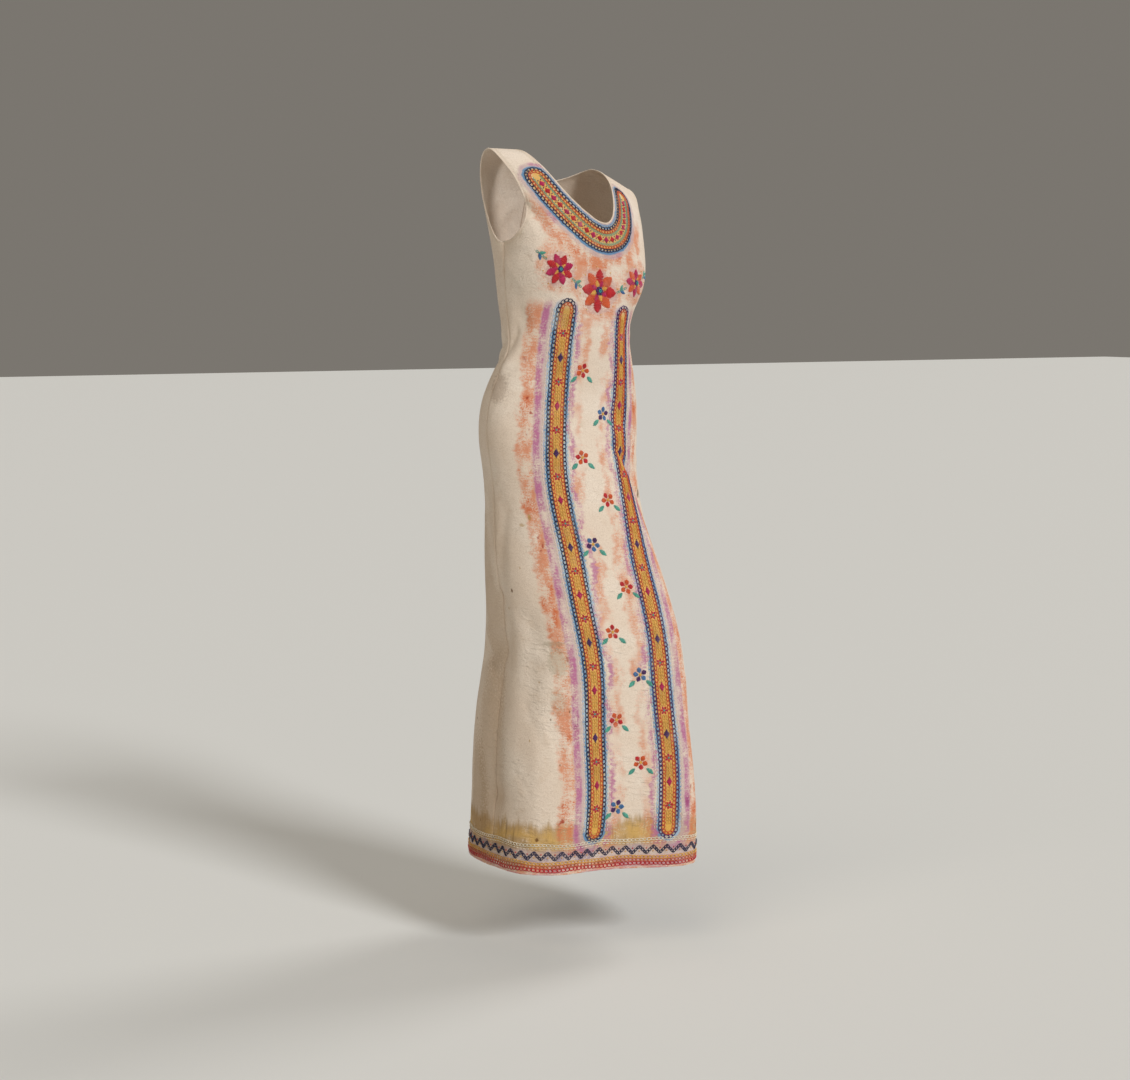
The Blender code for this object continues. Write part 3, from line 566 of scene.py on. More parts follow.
def grid_value(table, angle, run):
    """A table's value at a place, blended from the four grid places round it."""
    x = (np.asarray(angle) + math.pi) / (2.0 * math.pi) * (len(GRID_ANGLES) - 1)
    y = np.asarray(run) / RUN_END * (len(GRID_RUNS) - 1)
    i = np.clip(x.astype(int), 0, len(GRID_ANGLES) - 2)
    j = np.clip(y.astype(int), 0, len(GRID_RUNS) - 2)
    fx = x - i
    fy = y - j
    low = table[j, i] * (1.0 - fx) + table[j, i + 1] * fx
    high = table[j + 1, i] * (1.0 - fx) + table[j + 1, i + 1] * fx
    return low * (1.0 - fy) + high * fy


def walked_round(angle, run):
    """Distance round the cloth from centre front to an angle."""
    return grid_value(ROUND, angle, run)


def laid_flat(angle, run):
    """Distance round and run of places on the cloth."""
    return np.stack([walked_round(wrapped(angle), run), run], -1)


def angle_at(walked, run):
    """The angle that lies a distance round the cloth from centre front."""
    walked = np.asarray(walked, float)
    run = np.asarray(run, float)
    angle = walked / PLAN_RADIUS
    for _ in range(ANGLE_TRIES):
        ahead = walked_round(angle + ANGLE_STEP, run)
        rate = (ahead - walked_round(angle - ANGLE_STEP, run)) / (2.0 * ANGLE_STEP)
        angle = np.clip(angle - (walked_round(angle, run) - walked) / rate, -math.pi, math.pi)
    return angle


# Filling an outline with cells

def plan(points):
    """Angle and run laid flat in metres."""
    return np.stack([points[:, 0] * PLAN_RADIUS, points[:, 1]], -1)


def inside(polygon, points):
    """Which points lie inside a flat outline."""
    x = points[:, 0]
    y = points[:, 1]
    found = np.zeros(len(points), bool)
    for a, b in zip(polygon, np.roll(polygon, -1, 0)):
        crosses = (a[1] > y) != (b[1] > y)
        tall = b[1] - a[1] if abs(b[1] - a[1]) > LEAST_SQUARE else LEAST_SQUARE
        found ^= crosses & (x < (b[0] - a[0]) * (y - a[1]) / tall + a[0])
    return found


def away_from(starts, ends, points):
    """Distance from every point to the nearest of the lines."""
    nearest = np.full(len(points), FAR_AWAY)
    for a, b in zip(starts, ends):
        way = b - a
        part = np.clip((points - a) @ way / max(float(way @ way), LEAST_SQUARE), 0.0, 1.0)
        nearest = np.minimum(nearest, np.linalg.norm(points - a - part[:, None] * way, axis=1))
    return nearest


def filling(outline):
    """Points spread evenly inside an outline, in staggered rows."""
    low = outline.min(0)
    high = outline.max(0)
    found = []
    rows = np.arange(low[1] + CELL * FIRST_ROW, high[1], CELL * ROW_STEP)
    for number, run in enumerate(rows):
        cut = section_at(run)
        reach = (cut["left"] + cut["right"] + cut["front"] + cut["back"]) / 4.0
        turn = CELL / float(max(reach, LEAST_REACH))
        start = low[0] + turn * (ROW_SHIFT if number % 2 else 1.0)
        angles = np.arange(start, high[0], turn)
        found.append(np.stack([angles, np.full(len(angles), run)], -1))
    return np.concatenate(found)


def ways(path, closed=False):
    """The direction of a line at each of its points."""
    path = np.asarray(path, float)
    if closed:
        return unit(np.roll(path, -1, 0) - np.roll(path, 1, 0))
    return unit(np.gradient(path, axis=0))


def right_of(way):
    """Directions turned a quarter to the right, laid flat."""
    return np.stack([way[..., 1], -way[..., 0]], -1)


def edge_row(outline):
    """Points just inside the edge, so the edge can turn in within a narrow width."""
    border = plan(outline)
    moved = border - right_of(ways(border, True)) * EDGE_ROW
    keep = inside(border, moved)
    keep &= away_from(border, np.roll(border, -1, 0), moved) > EDGE_ROW * EDGE_ROW_ROOM
    return moved[keep] / [PLAN_RADIUS, 1.0]


def cells(outline):
    """Triangles that fill an outline, its own edge first in the list of points."""
    border = plan(outline)
    points = filling(outline)
    points = points[inside(border, plan(points))]
    keep = away_from(border, np.roll(border, -1, 0), plan(points)) > EDGE_ROW + CELL * FILL_ROOM
    points = np.concatenate([outline, edge_row(outline), points[keep]])
    edges = [(i, (i + 1) % len(outline)) for i in range(len(outline))]
    corners = [Vector(pair) for pair in plan(points).tolist()]
    triangles = np.array(delaunay_2d_cdt(corners, edges, [], 0, POINT_TOLERANCE, False)[2])
    return points, triangles[inside(border, plan(points)[triangles].mean(1))]


def rim_of(triangles):
    """Edges that belong to one triangle only, in their triangle's direction."""
    sides = np.concatenate([triangles[:, [0, 1]], triangles[:, [1, 2]], triangles[:, [2, 0]]])
    known = {(int(a), int(b)) for a, b in sides}
    return np.array([(a, b) for a, b in known if (b, a) not in known])


def skin(count, sides, closed=False, flipped=False):
    """Four-sided faces between rings of points, each ring joined to the next."""
    i, k = np.meshgrid(np.arange(count if closed else count - 1), np.arange(sides), indexing="ij")
    j = (i + 1) % count
    m = (k + 1) % sides
    faces = np.stack([i * sides + k, j * sides + k, j * sides + m, i * sides + m], -1).reshape(-1, 4)
    return faces[:, [0, 3, 2, 1]] if flipped else faces


def mesh_piece(name, vertices, faces, material, flat=None, values=None):
    """A piece from points and faces, with its laid-flat places and named values at every point."""
    mesh = bpy.data.meshes.new(name)
    mesh.from_pydata(np.asarray(vertices, float).tolist(), [], [tuple(map(int, f)) for f in faces])
    mesh.update()
    mesh.polygons.foreach_set("use_smooth", np.ones(len(mesh.polygons), bool))
    if flat is not None:
        corner_points = np.empty(len(mesh.loops), int)
        mesh.loops.foreach_get("vertex_index", corner_points)
        layer = mesh.uv_layers.new(name="cloth")
        layer.uv.foreach_set("vector", np.asarray(flat, np.float32)[corner_points].ravel())
    for key, numbers in (values or {}).items():
        kept = mesh.attributes.new(key, "FLOAT", "POINT")
        kept.data.foreach_set("value", np.asarray(numbers, np.float32))
    mesh.materials.append(material)
    thing = bpy.data.objects.new(name, mesh)
    bpy.context.scene.collection.objects.link(thing)
    return thing


def shell(name, outline, material):
    """A cut piece of cloth laid on the form: its outer face, its inner face and its turned-in edge."""
    points, triangles = cells(outline)
    angle = points[:, 0]
    run = points[:, 1]
    out = soft_facing(angle, run)
    drop = np.zeros(len(points))
    drop[:len(outline)] = EDGE_DROP
    face = soft_point(angle, run)
    outer = face - out * drop[:, None]
    inner = face - out * WALL
    count = len(points)
    rim = rim_of(triangles)
    walls_a = np.stack([rim[:, 1], rim[:, 0], rim[:, 0] + count], -1)
    walls_b = np.stack([rim[:, 1], rim[:, 0] + count, rim[:, 1] + count], -1)
    faces = np.concatenate([triangles, triangles[:, ::-1] + count, walls_a, walls_b])
    flat = laid_flat(angle, run)
    values = panel_values(angle, run, plan(outline))
    values = {key: np.tile(numbers, 2) for key, numbers in values.items()}
    values["inner"] = np.repeat([0.0, 1.0], count)
    return mesh_piece(name, np.concatenate([outer, inner]), faces, material, np.tile(flat, (2, 1)), values)


# Dye and needlework lie along these lines, in metres round from centre front and up from the hem

def walked_along(path):
    """Distance walked from a line's start to each of its points."""
    return np.concatenate([[0.0], np.cumsum(np.linalg.norm(np.diff(path, axis=0), axis=1))])


def spaced(path, gap):
    """A path's points set evenly apart."""
    path = np.asarray(path, float)
    walked = walked_along(path)
    count = max(2, int(round(walked[-1] / gap)) + 1)
    at = np.linspace(0.0, walked[-1], count)
    return np.stack([np.interp(at, walked, path[:, k]) for k in range(2)], -1)


def beside(path, distance):
    """A path moved sideways, to its right as it runs."""
    return path + right_of(ways(path)) * distance


def ribbon(path, half):
    """A closed line round a path at a distance, with round ends."""
    turn = np.linspace(0.0, math.pi, 9)[1:-1, None]
    way = ways(path)
    ends = []
    for place, forward in ((path[-1], way[-1]), (path[0], -way[0])):
        ends.append(place + half * (np.cos(turn) * right_of(forward) + np.sin(turn) * forward))
    line = np.concatenate([beside(path, half), ends[0], beside(path, -half)[::-1], ends[1]])
    return np.concatenate([line, line[:1]])


def neck_line(to_back, start, end, count):
    """The neckline as distance round and run."""
    edge = neck_curve(to_back, np.linspace(start, end, count))
    return laid_flat(edge[:, 0], edge[:, 1])


def run_at(level):
    """Run at a level, as a plain number."""
    return float(run_of(level))


YOKE_INSET = 0.030
YOKE_HALF = 0.020
BAND_ASIDE = 0.070
BAND_HALF = 0.016
BAND_LOW = 0.074
BAND_TOP_LEVEL = -0.275
BLOOMS = (
    # round from centre front, level, radius
    (0.000, -0.236, 0.040),
    (-0.094, -0.208, 0.028),
    (0.094, -0.208, 0.028),
)


def yoke_line():
    """Middle line of the stitched yoke below the neckline."""
    path = neck_line(False, 0.17 * math.pi, 0.83 * math.pi, 160)
    return spaced(beside(path[::-1], YOKE_INSET), 0.003)


def band_waver(side, up):
    """How far a band strays sideways, as lines drawn by hand do."""
    return 0.0032 * np.sin(8.0 * up + side) + 0.0013 * np.sin(27.0 * up + 2.0 * side)


def band_line(side):
    """Middle line of one stitched band down the front."""
    up = np.linspace(BAND_LOW, run_at(BAND_TOP_LEVEL), 260)
    return np.stack([side * BAND_ASIDE + band_waver(side, up), up], -1)


def hem_line(up, waver=0.0012):
    """A line all the way round above the hem."""
    angle = np.linspace(-math.pi, math.pi, 500)[1:-1]
    high = up + waver * np.sin(11.0 * angle + 90.0 * up)
    return np.stack([walked_round(angle, high), high], -1)


YOKE = yoke_line()
BANDS = (band_line(-1.0), band_line(1.0))


# Threads: small closed shapes, set on the cloth by frames

def around(count):
    """Even turns of a full circle."""
    return np.arange(count) * 2.0 * math.pi / count


def tube(path, radius, sides, closed):
    """Points and faces of a thin round tube along a local path."""
    way = ways(path, closed)
    aside = unit(np.cross(way, [0.0, 0.0, 1.0]))
    turn = around(sides)[None, :, None]
    ring = np.cos(turn) * aside[:, None] + np.sin(turn) * np.cross(aside, way)[:, None]
    thick = np.broadcast_to(np.asarray(radius, float), (len(path),))
    points = (path[:, None] + ring * thick[:, None, None]).reshape(-1, 3)
    return points, skin(len(path), sides, closed)


def link_shape(length, width, thick):
    """One loop of chain stitch, narrow where it leaves the cloth."""
    turn = around(10)
    x = length / 2.0 * np.cos(turn)
    y = width / 2.0 * np.sin(turn) * (1.0 - 0.25 * np.cos(turn))
    z = thick * (0.75 + 0.35 * np.cos(turn))
    return tube(np.stack([x, y, z], -1), thick, 4, True)


def dash_shape(length, thick):
    """One straight stitch that goes into the cloth at both ends."""
    x = np.array([-0.5, -0.38, 0.0, 0.38, 0.5]) * length
    z = np.array([-0.6, 0.45, 0.75, 0.45, -0.6]) * thick
    return tube(np.stack([x, np.zeros(5), z], -1), thick * np.array([0.7, 1.0, 1.05, 1.0, 0.7]), 5, False)


def knot_shape(radius):
    """One small round knot."""
    up = np.linspace(0.0, math.pi, 6)[:, None]
    turn = around(7)[None]
    x = radius * np.sin(up) * (np.cos(turn) + 0.1)
    y = radius * np.sin(up) * np.sin(turn)
    z = radius * (0.45 - 0.75 * np.cos(up))
    return np.stack(np.broadcast_arrays(x, y, z), -1).reshape(-1, 3), skin(6, 7, False, True)


def bead_shape(radius, thick):
    """One ring bead."""
    turn = around(10)
    path = np.stack([radius * np.cos(turn), radius * np.sin(turn), np.full(10, thick * 0.8)], -1)
    return tube(path, thick, 6, True)


def frames_on(places, directions, lift=0.0):
    """Points on the cloth with the ways along, across and out."""
    places = np.asarray(places, float)
    directions = unit(np.asarray(directions, float))
    angle = angle_at(places[:, 0], places[:, 1])
    out = soft_facing(angle, places[:, 1])
    here = soft_point(angle, places[:, 1]) + out * lift
    ahead = places + directions * 0.001
    ahead_point = soft_point(angle_at(ahead[:, 0], ahead[:, 1]), ahead[:, 1])
    along = ahead_point - here
    along = unit(along - out * (along * out).sum(1, keepdims=True))
    return here, along, np.cross(out, along), out


# Length of a straight stitch before it is stretched, how far chain loops step, and how stitches differ
DASH = 0.004
CHAIN_STEP = 0.80
UNEVEN = 0.07
SLANT = 0.05


class Threads:
    """Stitches of one colour gathered into one piece."""

    def __init__(self, seed):
        self.points = []
        self.faces = []
        self.shades = []
        self.count = 0
        self.chance = np.random.default_rng(seed)

    def lay(self, shape, frames, stretch=None):
        """Copies of a shape on every frame, each a little unlike the next."""
        points, faces = shape
        here, along, across, out = frames
        many = len(here)
        uneven = 1.0 + UNEVEN * self.chance.standard_normal((many, 3)).clip(-2.0, 2.0)
        if stretch is not None:
            uneven[:, 0] *= stretch
        local = points[None] * uneven[:, None, :]
        slant = SLANT * self.chance.standard_normal(many)[:, None]
        way = along * np.cos(slant) + across * np.sin(slant)
        side = across * np.cos(slant) - along * np.sin(slant)
        placed = here[:, None] + local[..., :1] * way[:, None] + local[..., 1:2] * side[:, None]
        placed = placed + local[..., 2:] * out[:, None]
        start = self.count + np.arange(many)[:, None, None] * len(points)
        self.points.append(placed.reshape(-1, 3))
        self.faces.append((faces[None] + start).reshape(-1, faces.shape[1]))
        self.shades.append(np.repeat(self.chance.random(many), len(points)))
        self.count += many * len(points)

    def follow(self, path, gap, shape):
        """Copies of a shape end to end along a line."""
        path = spaced(path, gap)
        self.lay(shape, frames_on((path[1:] + path[:-1]) / 2.0, path[1:] - path[:-1]))

    def chain(self, path, length=0.0100, width=0.0060, thick=0.00085):
        """Chain stitch along a line."""
        self.follow(path, length * CHAIN_STEP, link_shape(length, width, thick))

    def dashes(self, path, length=0.0052, gap=0.0076, thick=0.00065):
        """Running stitch along a line."""
        self.follow(path, gap, dash_shape(length, thick))

    def lines(self, starts, ends, thick=0.00055, lift=0.0):
        """Single straight stitches between pairs of places."""
        starts = np.asarray(starts, float)
        ends = np.asarray(ends, float)
        length = np.linalg.norm(ends - starts, axis=1)
        frames = frames_on((starts + ends) / 2.0, ends - starts, lift)
        self.lay(dash_shape(DASH, thick), frames, length / DASH)

    def knots(self, places, radius=0.0018):
        """Round knots at places."""
        places = np.asarray(places, float)
        self.lay(knot_shape(radius), frames_on(places, np.tile([1.0, 0.0], (len(places), 1))))

    def piece(self, name, material):
        """All the stitches as one mesh that moves with the dress."""
        thing = mesh_piece(name, np.concatenate(self.points), np.concatenate(self.faces), material,
                           None, {"stitch": np.concatenate(self.shades)})
        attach(thing, "dress")
        return thing


def leaf_lines(place, way, length, width, threads):
    """Starts and ends of the satin stitches that fill one leaf or petal, from its foot to its tip."""
    way = np.asarray(way, float) / np.hypot(*way)
    aside = right_of(way)
    share = np.linspace(0.06, 0.97, threads)
    half = width / 2.0 * np.sin(math.pi * share ** 0.8) ** 0.75
    middle = np.asarray(place, float) + share[:, None] * length * way
    slant = way * 0.28
    starts = middle + half[:, None] * (aside + slant)
    ends = middle - half[:, None] * (aside - slant)
    return starts, ends


# Materials

class Nodes:
    """Short ways to add and join the nodes of one material."""

    def __init__(self, name):
        self.material = bpy.data.materials.new(name)
        self.material.use_nodes = True
        self.tree = self.material.node_tree
        self.shader = self.tree.nodes["Principled BSDF"]

    def put(self, socket, value):
        """Joins a node's output to a socket, or writes a plain value into it."""
        if isinstance(value, bpy.types.NodeSocket):
            self.tree.links.new(value, socket)
        else:
            socket.default_value = value

    def set(self, name, value):
        """Gives the surface one of its inputs."""
        self.put(self.shader.inputs[name], value)

    def math(self, way, *values):
        """One sum on numbers."""
        made = self.tree.nodes.new("ShaderNodeMath")
        made.operation = way
        for place, value in enumerate(values):
            self.put(made.inputs[place], value)
        return made.outputs[0]

    def sum(self, *values):
        """All the values added up."""
        total = values[0]
        for value in values[1:]:
            total = self.math("ADD", total, value)
        return total

    def product(self, *values):
        """All the values multiplied."""
        total = values[0]
        for value in values[1:]:
            total = self.math("MULTIPLY", total, value)
        return total

    def over(self, colour, mask, share, tint):
        """A tint laid over a colour where a mask says, by a share."""
        return self.mix(self.product(mask, share), colour, tint)

    def step(self, value, low, high):
        """A soft step, 0 at low and 1 at high, or the other way where high is less."""
        made = self.tree.nodes.new("ShaderNodeMapRange")
        made.interpolation_type = "SMOOTHSTEP"
        self.put(made.inputs["Value"], value)
        self.put(made.inputs["From Min"], low)
        self.put(made.inputs["From Max"], high)
        return made.outputs["Result"]

    def noise(self, at, scale, detail=3.0, rough=0.5, distort=0.0):
        """Soft noise over a place, about 0.5 on average."""
        made = self.tree.nodes.new("ShaderNodeTexNoise")
        self.put(made.inputs["Vector"], at)
        made.inputs["Scale"].default_value = scale
        made.inputs["Detail"].default_value = detail
        made.inputs["Roughness"].default_value = rough
        made.inputs["Distortion"].default_value = distort
        return made.outputs["Fac"]

    def swing(self, *wanted):
        """Soft noise about 0."""
        return self.math("SUBTRACT", self.noise(*wanted), 0.5)

    def stretched(self, at, x, y, detail=2.0):
        """Soft noise with its own scale round and up."""
        return self.noise(self.scaled(at, x, y), 1.0, detail)

    def mix(self, share, one, two):
        """One colour over another."""
        made = self.tree.nodes.new("ShaderNodeMix")
        made.data_type = "RGBA"
        self.put(made.inputs[0], share)
        self.put(made.inputs[6], one)
        self.put(made.inputs[7], two)
        return made.outputs[2]

    def scaled(self, at, x, y, z=1.0):
        """A place stretched along its axes."""
        made = self.tree.nodes.new("ShaderNodeVectorMath")
        made.operation = "MULTIPLY"
        self.put(made.inputs[0], at)
        made.inputs[1].default_value = (x, y, z)
        return made.outputs[0]

    def value_of(self, name):
        """A value kept at the mesh's points."""
        made = self.tree.nodes.new("ShaderNodeAttribute")
        made.attribute_name = name
        return made.outputs["Fac"]

    def flat_place(self):
        """The laid-flat place in metres, and its two parts."""
        made = self.tree.nodes.new("ShaderNodeUVMap")
        made.uv_map = "cloth"
        parts = self.tree.nodes.new("ShaderNodeSeparateXYZ")
        self.tree.links.new(made.outputs[0], parts.inputs[0])
        return made.outputs[0], parts.outputs[0], parts.outputs[1]

    def slanted(self, across, up, lean, x, y):
        """The laid-flat place leaned over and stretched, for marks that run aslant."""
        made = self.tree.nodes.new("ShaderNodeCombineXYZ")
        self.put(made.inputs[0], self.product(self.math("MULTIPLY_ADD", up, lean, across), x))
        self.put(made.inputs[1], self.product(up, y))
        return made.outputs[0]

    def object_place(self):
        """The place in the object, in metres."""
        return self.tree.nodes.new("ShaderNodeTexCoord").outputs["Object"]

    def bump(self, height, depth, under=None):
        """Small relief, with height 0 to 1 standing for depth in metres."""
        made = self.tree.nodes.new("ShaderNodeBump")
        self.put(made.inputs["Height"], height)
        made.inputs["Distance"].default_value = depth
        if under is not None:
            self.put(made.inputs["Normal"], under)
        return made.outputs[0]


def tone(red, green, blue):
    """A colour from its screen values, 0 to 255."""
    return tuple(((c / 255.0 + 0.055) / 1.055) ** 2.4 for c in (red, green, blue)) + (1.0,)


CREAM = tone(231, 214, 196)
CREAM_DEEP = tone(208, 184, 158)
CREAM_PALE = tone(240, 227, 212)
SALMON = tone(214, 132, 92)
ORANGE = tone(205, 98, 48)
GOLD = tone(224, 174, 84)
OCHRE = tone(178, 140, 76)
MAUVE = tone(184, 110, 150)
HAZE = tone(196, 172, 172)
BLUE = tone(86, 140, 182)
PALE_BLUE = tone(160, 190, 212)
VIOLET = tone(112, 96, 140)
BROWN = tone(112, 78, 44)
# Soil stains, and painted shade along a ledge of the skirt
SOIL_AND_SHADE = tone(158, 146, 118)
# Painted shade: warm brown laid where the right side of the skirt turns away from the light
PAINTED_SHADE = tone(168, 136, 98)
RUST_RED = tone(164, 54, 34)
PLUM = tone(150, 58, 112)
STRAW = tone(218, 176, 96)
UMBER = tone(142, 110, 62)
GRAIN = tone(190, 166, 142)
TARNISH = tone(120, 92, 52)

# Marks on the cloth, stains and painted shade: round from centre front, up from the hem, half width, half
# height, share, colour
MARKS = (
    (-0.138, 0.655, 0.0035, 0.0065, 0.75, OCHRE),
    (-0.155, 0.640, 0.0060, 0.0035, 0.55, OCHRE),
    (-0.207, 0.516, 0.0028, 0.0042, 0.85, BROWN),
    (-0.229, 0.481, 0.0038, 0.0028, 0.45, OCHRE),
    (0.150, 0.690, 0.0055, 0.0095, 0.85, BROWN),
    (0.141, 0.700, 0.0040, 0.0030, 0.50, OCHRE),
    (-0.184, 0.066, 0.0042, 0.0042, 0.90, BROWN),
    (-0.347, 0.078, 0.0022, 0.0030, 0.80, BROWN),
    (-0.152, 0.286, 0.0018, 0.0022, 0.60, BROWN),
    (-0.187, 0.893, 0.0230, 0.0300, 0.34, BROWN),
    # Painted shade: a thin dark line along the ledge where the cloth dips in across the right of the skirt; the
    # two rows after it are soil stains
    (-0.136, 0.423, 0.0260, 0.0050, 0.42, SOIL_AND_SHADE),
    (-0.132, 0.390, 0.0230, 0.0300, 0.40, SOIL_AND_SHADE),
    (-0.136, 0.318, 0.0160, 0.0260, 0.26, SOIL_AND_SHADE),
    # Painted shade: this row and the next four darken and brown the right side of the skirt, where its folds
    # turn away from the light
    (-0.235, 0.400, 0.0200, 0.0500, 0.22, CREAM_DEEP),
    (-0.308, 0.200, 0.0480, 0.2300, 0.38, PAINTED_SHADE),
    (-0.362, 0.110, 0.0420, 0.1400, 0.46, PAINTED_SHADE),
    (-0.296, 0.540, 0.0400, 0.3200, 0.26, PAINTED_SHADE),
    (-0.224, 0.640, 0.0240, 0.0900, 0.24, CREAM_DEEP),
    (-0.116, 0.300, 0.0016, 0.0026, 0.75, BROWN),
    (-0.172, 0.352, 0.0020, 0.0020, 0.65, OCHRE),
    (-0.196, 0.246, 0.0016, 0.0030, 0.60, OCHRE),
    (-0.140, 0.204, 0.0018, 0.0018, 0.60, BROWN),
    (-0.176, 0.560, 0.0016, 0.0024, 0.60, OCHRE),
    (-0.122, 0.744, 0.0018, 0.0020, 0.55, OCHRE),
    (0.128, 0.512, 0.0022, 0.0030, 0.60, OCHRE),
    (0.160, 0.350, 0.0018, 0.0024, 0.55, BROWN),
    (0.300, 0.420, 0.0026, 0.0034, 0.60, OCHRE),
    (0.336, 0.186, 0.0030, 0.0024, 0.70, BROWN),
    (-0.318, 0.620, 0.0024, 0.0030, 0.55, OCHRE),
    (-0.372, 0.262, 0.0034, 0.0026, 0.60, BROWN),
)

WEAVE_PITCH = 0.00105


def canvas_material(name, dyed, marked):
    """Heavy brushed cotton: weave, slubs, nap, mottling, stains and wear, painted shade down the right of the
    skirt, and dye where the piece carries it.
    """
    n = Nodes(name)
    at, round_way, up = n.flat_place()
    turn = 2.0 * math.pi / WEAVE_PITCH
    wander = n.product(n.swing(at, 140.0, 2.0), 2.4)
    warp = n.math("SINE", n.sum(n.product(round_way, turn), wander))
    weft = n.math("SINE", n.sum(n.product(up, turn), wander))
    weave = n.math("MULTIPLY_ADD", n.product(warp, weft), 0.5, 0.5)
    slub_up = n.stretched(at, 900.0, 45.0)
    slub_round = n.stretched(at, 45.0, 900.0)
    clumps = n.noise(at, 330.0, 4.0, 0.62)
    nap = n.noise(at, 1500.0, 3.0, 0.6)
    cloudy = n.noise(at, 9.0, 3.0)
    patchy = n.noise(at, 38.0, 4.0, 0.6)

    colour = n.mix(n.step(cloudy, 0.35, 0.75), CREAM, CREAM_PALE)
    colour = n.over(colour, n.step(patchy, 0.52, 0.80), 0.40, CREAM_DEEP)
    grain = n.sum(n.product(clumps, 0.55), n.product(nap, 0.25), n.product(weave, 0.20))
    colour = n.over(colour, n.step(grain, 0.56, 0.36), 0.42, GRAIN)
    slubs = n.math("MAXIMUM", n.step(slub_up, 0.62, 0.75), n.step(slub_round, 0.64, 0.76))
    colour = n.over(colour, slubs, 0.22, CREAM_PALE)
    colour = n.over(colour, n.step(n.noise(at, 620.0, 1.0), 0.80, 0.84), 0.55, OCHRE)

    plain = colour
    colour = dye_work(n, colour, at, round_way, up) if dyed else hem_dye(n, colour, at, up)
    colour = n.over(colour, n.value_of("inner"), 0.80, plain)
    if marked:
        ragged = n.product(n.swing(at, 260.0, 3.0), 1.3)
        for place, high, wide, tall, share, mark in MARKS:
            x = n.math("DIVIDE", n.math("SUBTRACT", round_way, place), wide)
            y = n.math("DIVIDE", n.math("SUBTRACT", up, high), tall)
            away = n.math("SQRT", n.sum(n.product(x, x), n.product(y, y)))
            colour = n.over(colour, n.step(n.sum(away, ragged), 1.15, 0.55), share, mark)
    colour = n.over(colour, n.step(n.value_of("edge"), 0.010, 0.0), 0.22, CREAM_DEEP)

    n.set("Base Color", colour)
    n.set("Roughness", n.math("MULTIPLY_ADD", clumps, 0.12, 0.86))
    n.set("Sheen Weight", 0.10)
    n.set("Sheen Roughness", 0.5)
    n.set("Sheen Tint", CREAM)
    n.set("Specular IOR Level", 0.12)
    crush = n.math("ABSOLUTE", n.swing(at, 26.0, 5.0, 0.55, 0.8))
    crush = n.math("MAXIMUM", n.step(crush, 0.0, 0.05), n.step(cloudy, 0.60, 0.44))
    creased = n.step(n.noise(n.slanted(round_way, up, 0.9, 42.0, 130.0), 1.0, 2.0), 0.50, 0.70)
    creased = n.product(creased, n.step(cloudy, 0.40, 0.60), n.step(up, 0.85, 0.50))
    relief = n.sum(n.product(weave, 0.35), n.product(nap, 0.30), n.product(clumps, 0.9), n.product(slubs, 0.4))
    soft = None
    for height, depth in ((crush, 0.00035), (n.stretched(at, 42.0, 70.0, 3.0), 0.0011),
                          (creased, 0.0009), (relief, 0.00045)):
        soft = n.bump(height, depth, soft)
    n.set("Normal", soft)
    return n.material


def brush(n, at):
    """Dry brush marks, 0 to 1: soft patches and strokes, broken by the grain of the cloth."""
    patches = n.stretched(at, 44.0, 22.0, 3.0)
    strokes = n.stretched(at, 70.0, 260.0)
    grain = n.noise(at, 330.0, 4.0, 0.75)
    return n.sum(n.product(patches, 0.40), n.product(strokes, 0.15), n.product(grain, 0.45))


def washes(n, colour, away, rows):
    """Dyes laid one over the next, each between two distances from a line, with soft ragged edges.

    A row holds near, far, softness, raggedness, cover, share and dye.
    """
    for near, far, soft, ragged, cover, share, dye in rows:
        place = n.sum(away, ragged)
        mask = n.product(n.step(place, near - soft, near + soft), n.step(place, far + soft, far - soft), cover)
        colour = n.over(colour, mask, share, dye)
    return colour


def hem_dye(n, colour, at, up):
    """Brushed colour along the hem."""
    marks = brush(n, at)
    slow = n.math("SUBTRACT", n.stretched(at, 26.0, 3.0), 0.5)
    quick = n.math("SUBTRACT", n.stretched(at, 120.0, 12.0), 0.5)
    ends = n.sum(n.product(slow, 0.050), n.product(quick, 0.030))
    full = n.step(marks, 0.34, 0.50)
    thin = n.step(marks, 0.42, 0.58)
    patch = n.stretched(at, 11.0, 20.0)
    streaks = n.stretched(at, 130.0, 14.0)
    return washes(n, colour, up, (
        (0.038, 0.092, 0.010, ends, full, 0.80, OCHRE),
        (0.042, 0.078, 0.012, ends, n.step(patch, 0.42, 0.58), 0.66, STRAW),
        (0.046, 0.096, 0.012, ends, n.step(streaks, 0.52, 0.66), 0.50, UMBER),
        (0.018, 0.046, 0.004, n.product(slow, 0.014), full, 0.60, HAZE),
        (0.024, 0.050, 0.004, n.product(slow, 0.020), n.product(thin, n.step(patch, 0.48, 0.60)), 0.66, VIOLET),
        (-0.010, 0.022, 0.004, n.product(slow, 0.012), thin, 0.85, SALMON),
        (0.002, 0.024, 0.004, n.product(quick, 0.012), n.step(patch, 0.56, 0.44), 0.50, MAUVE),
    ))


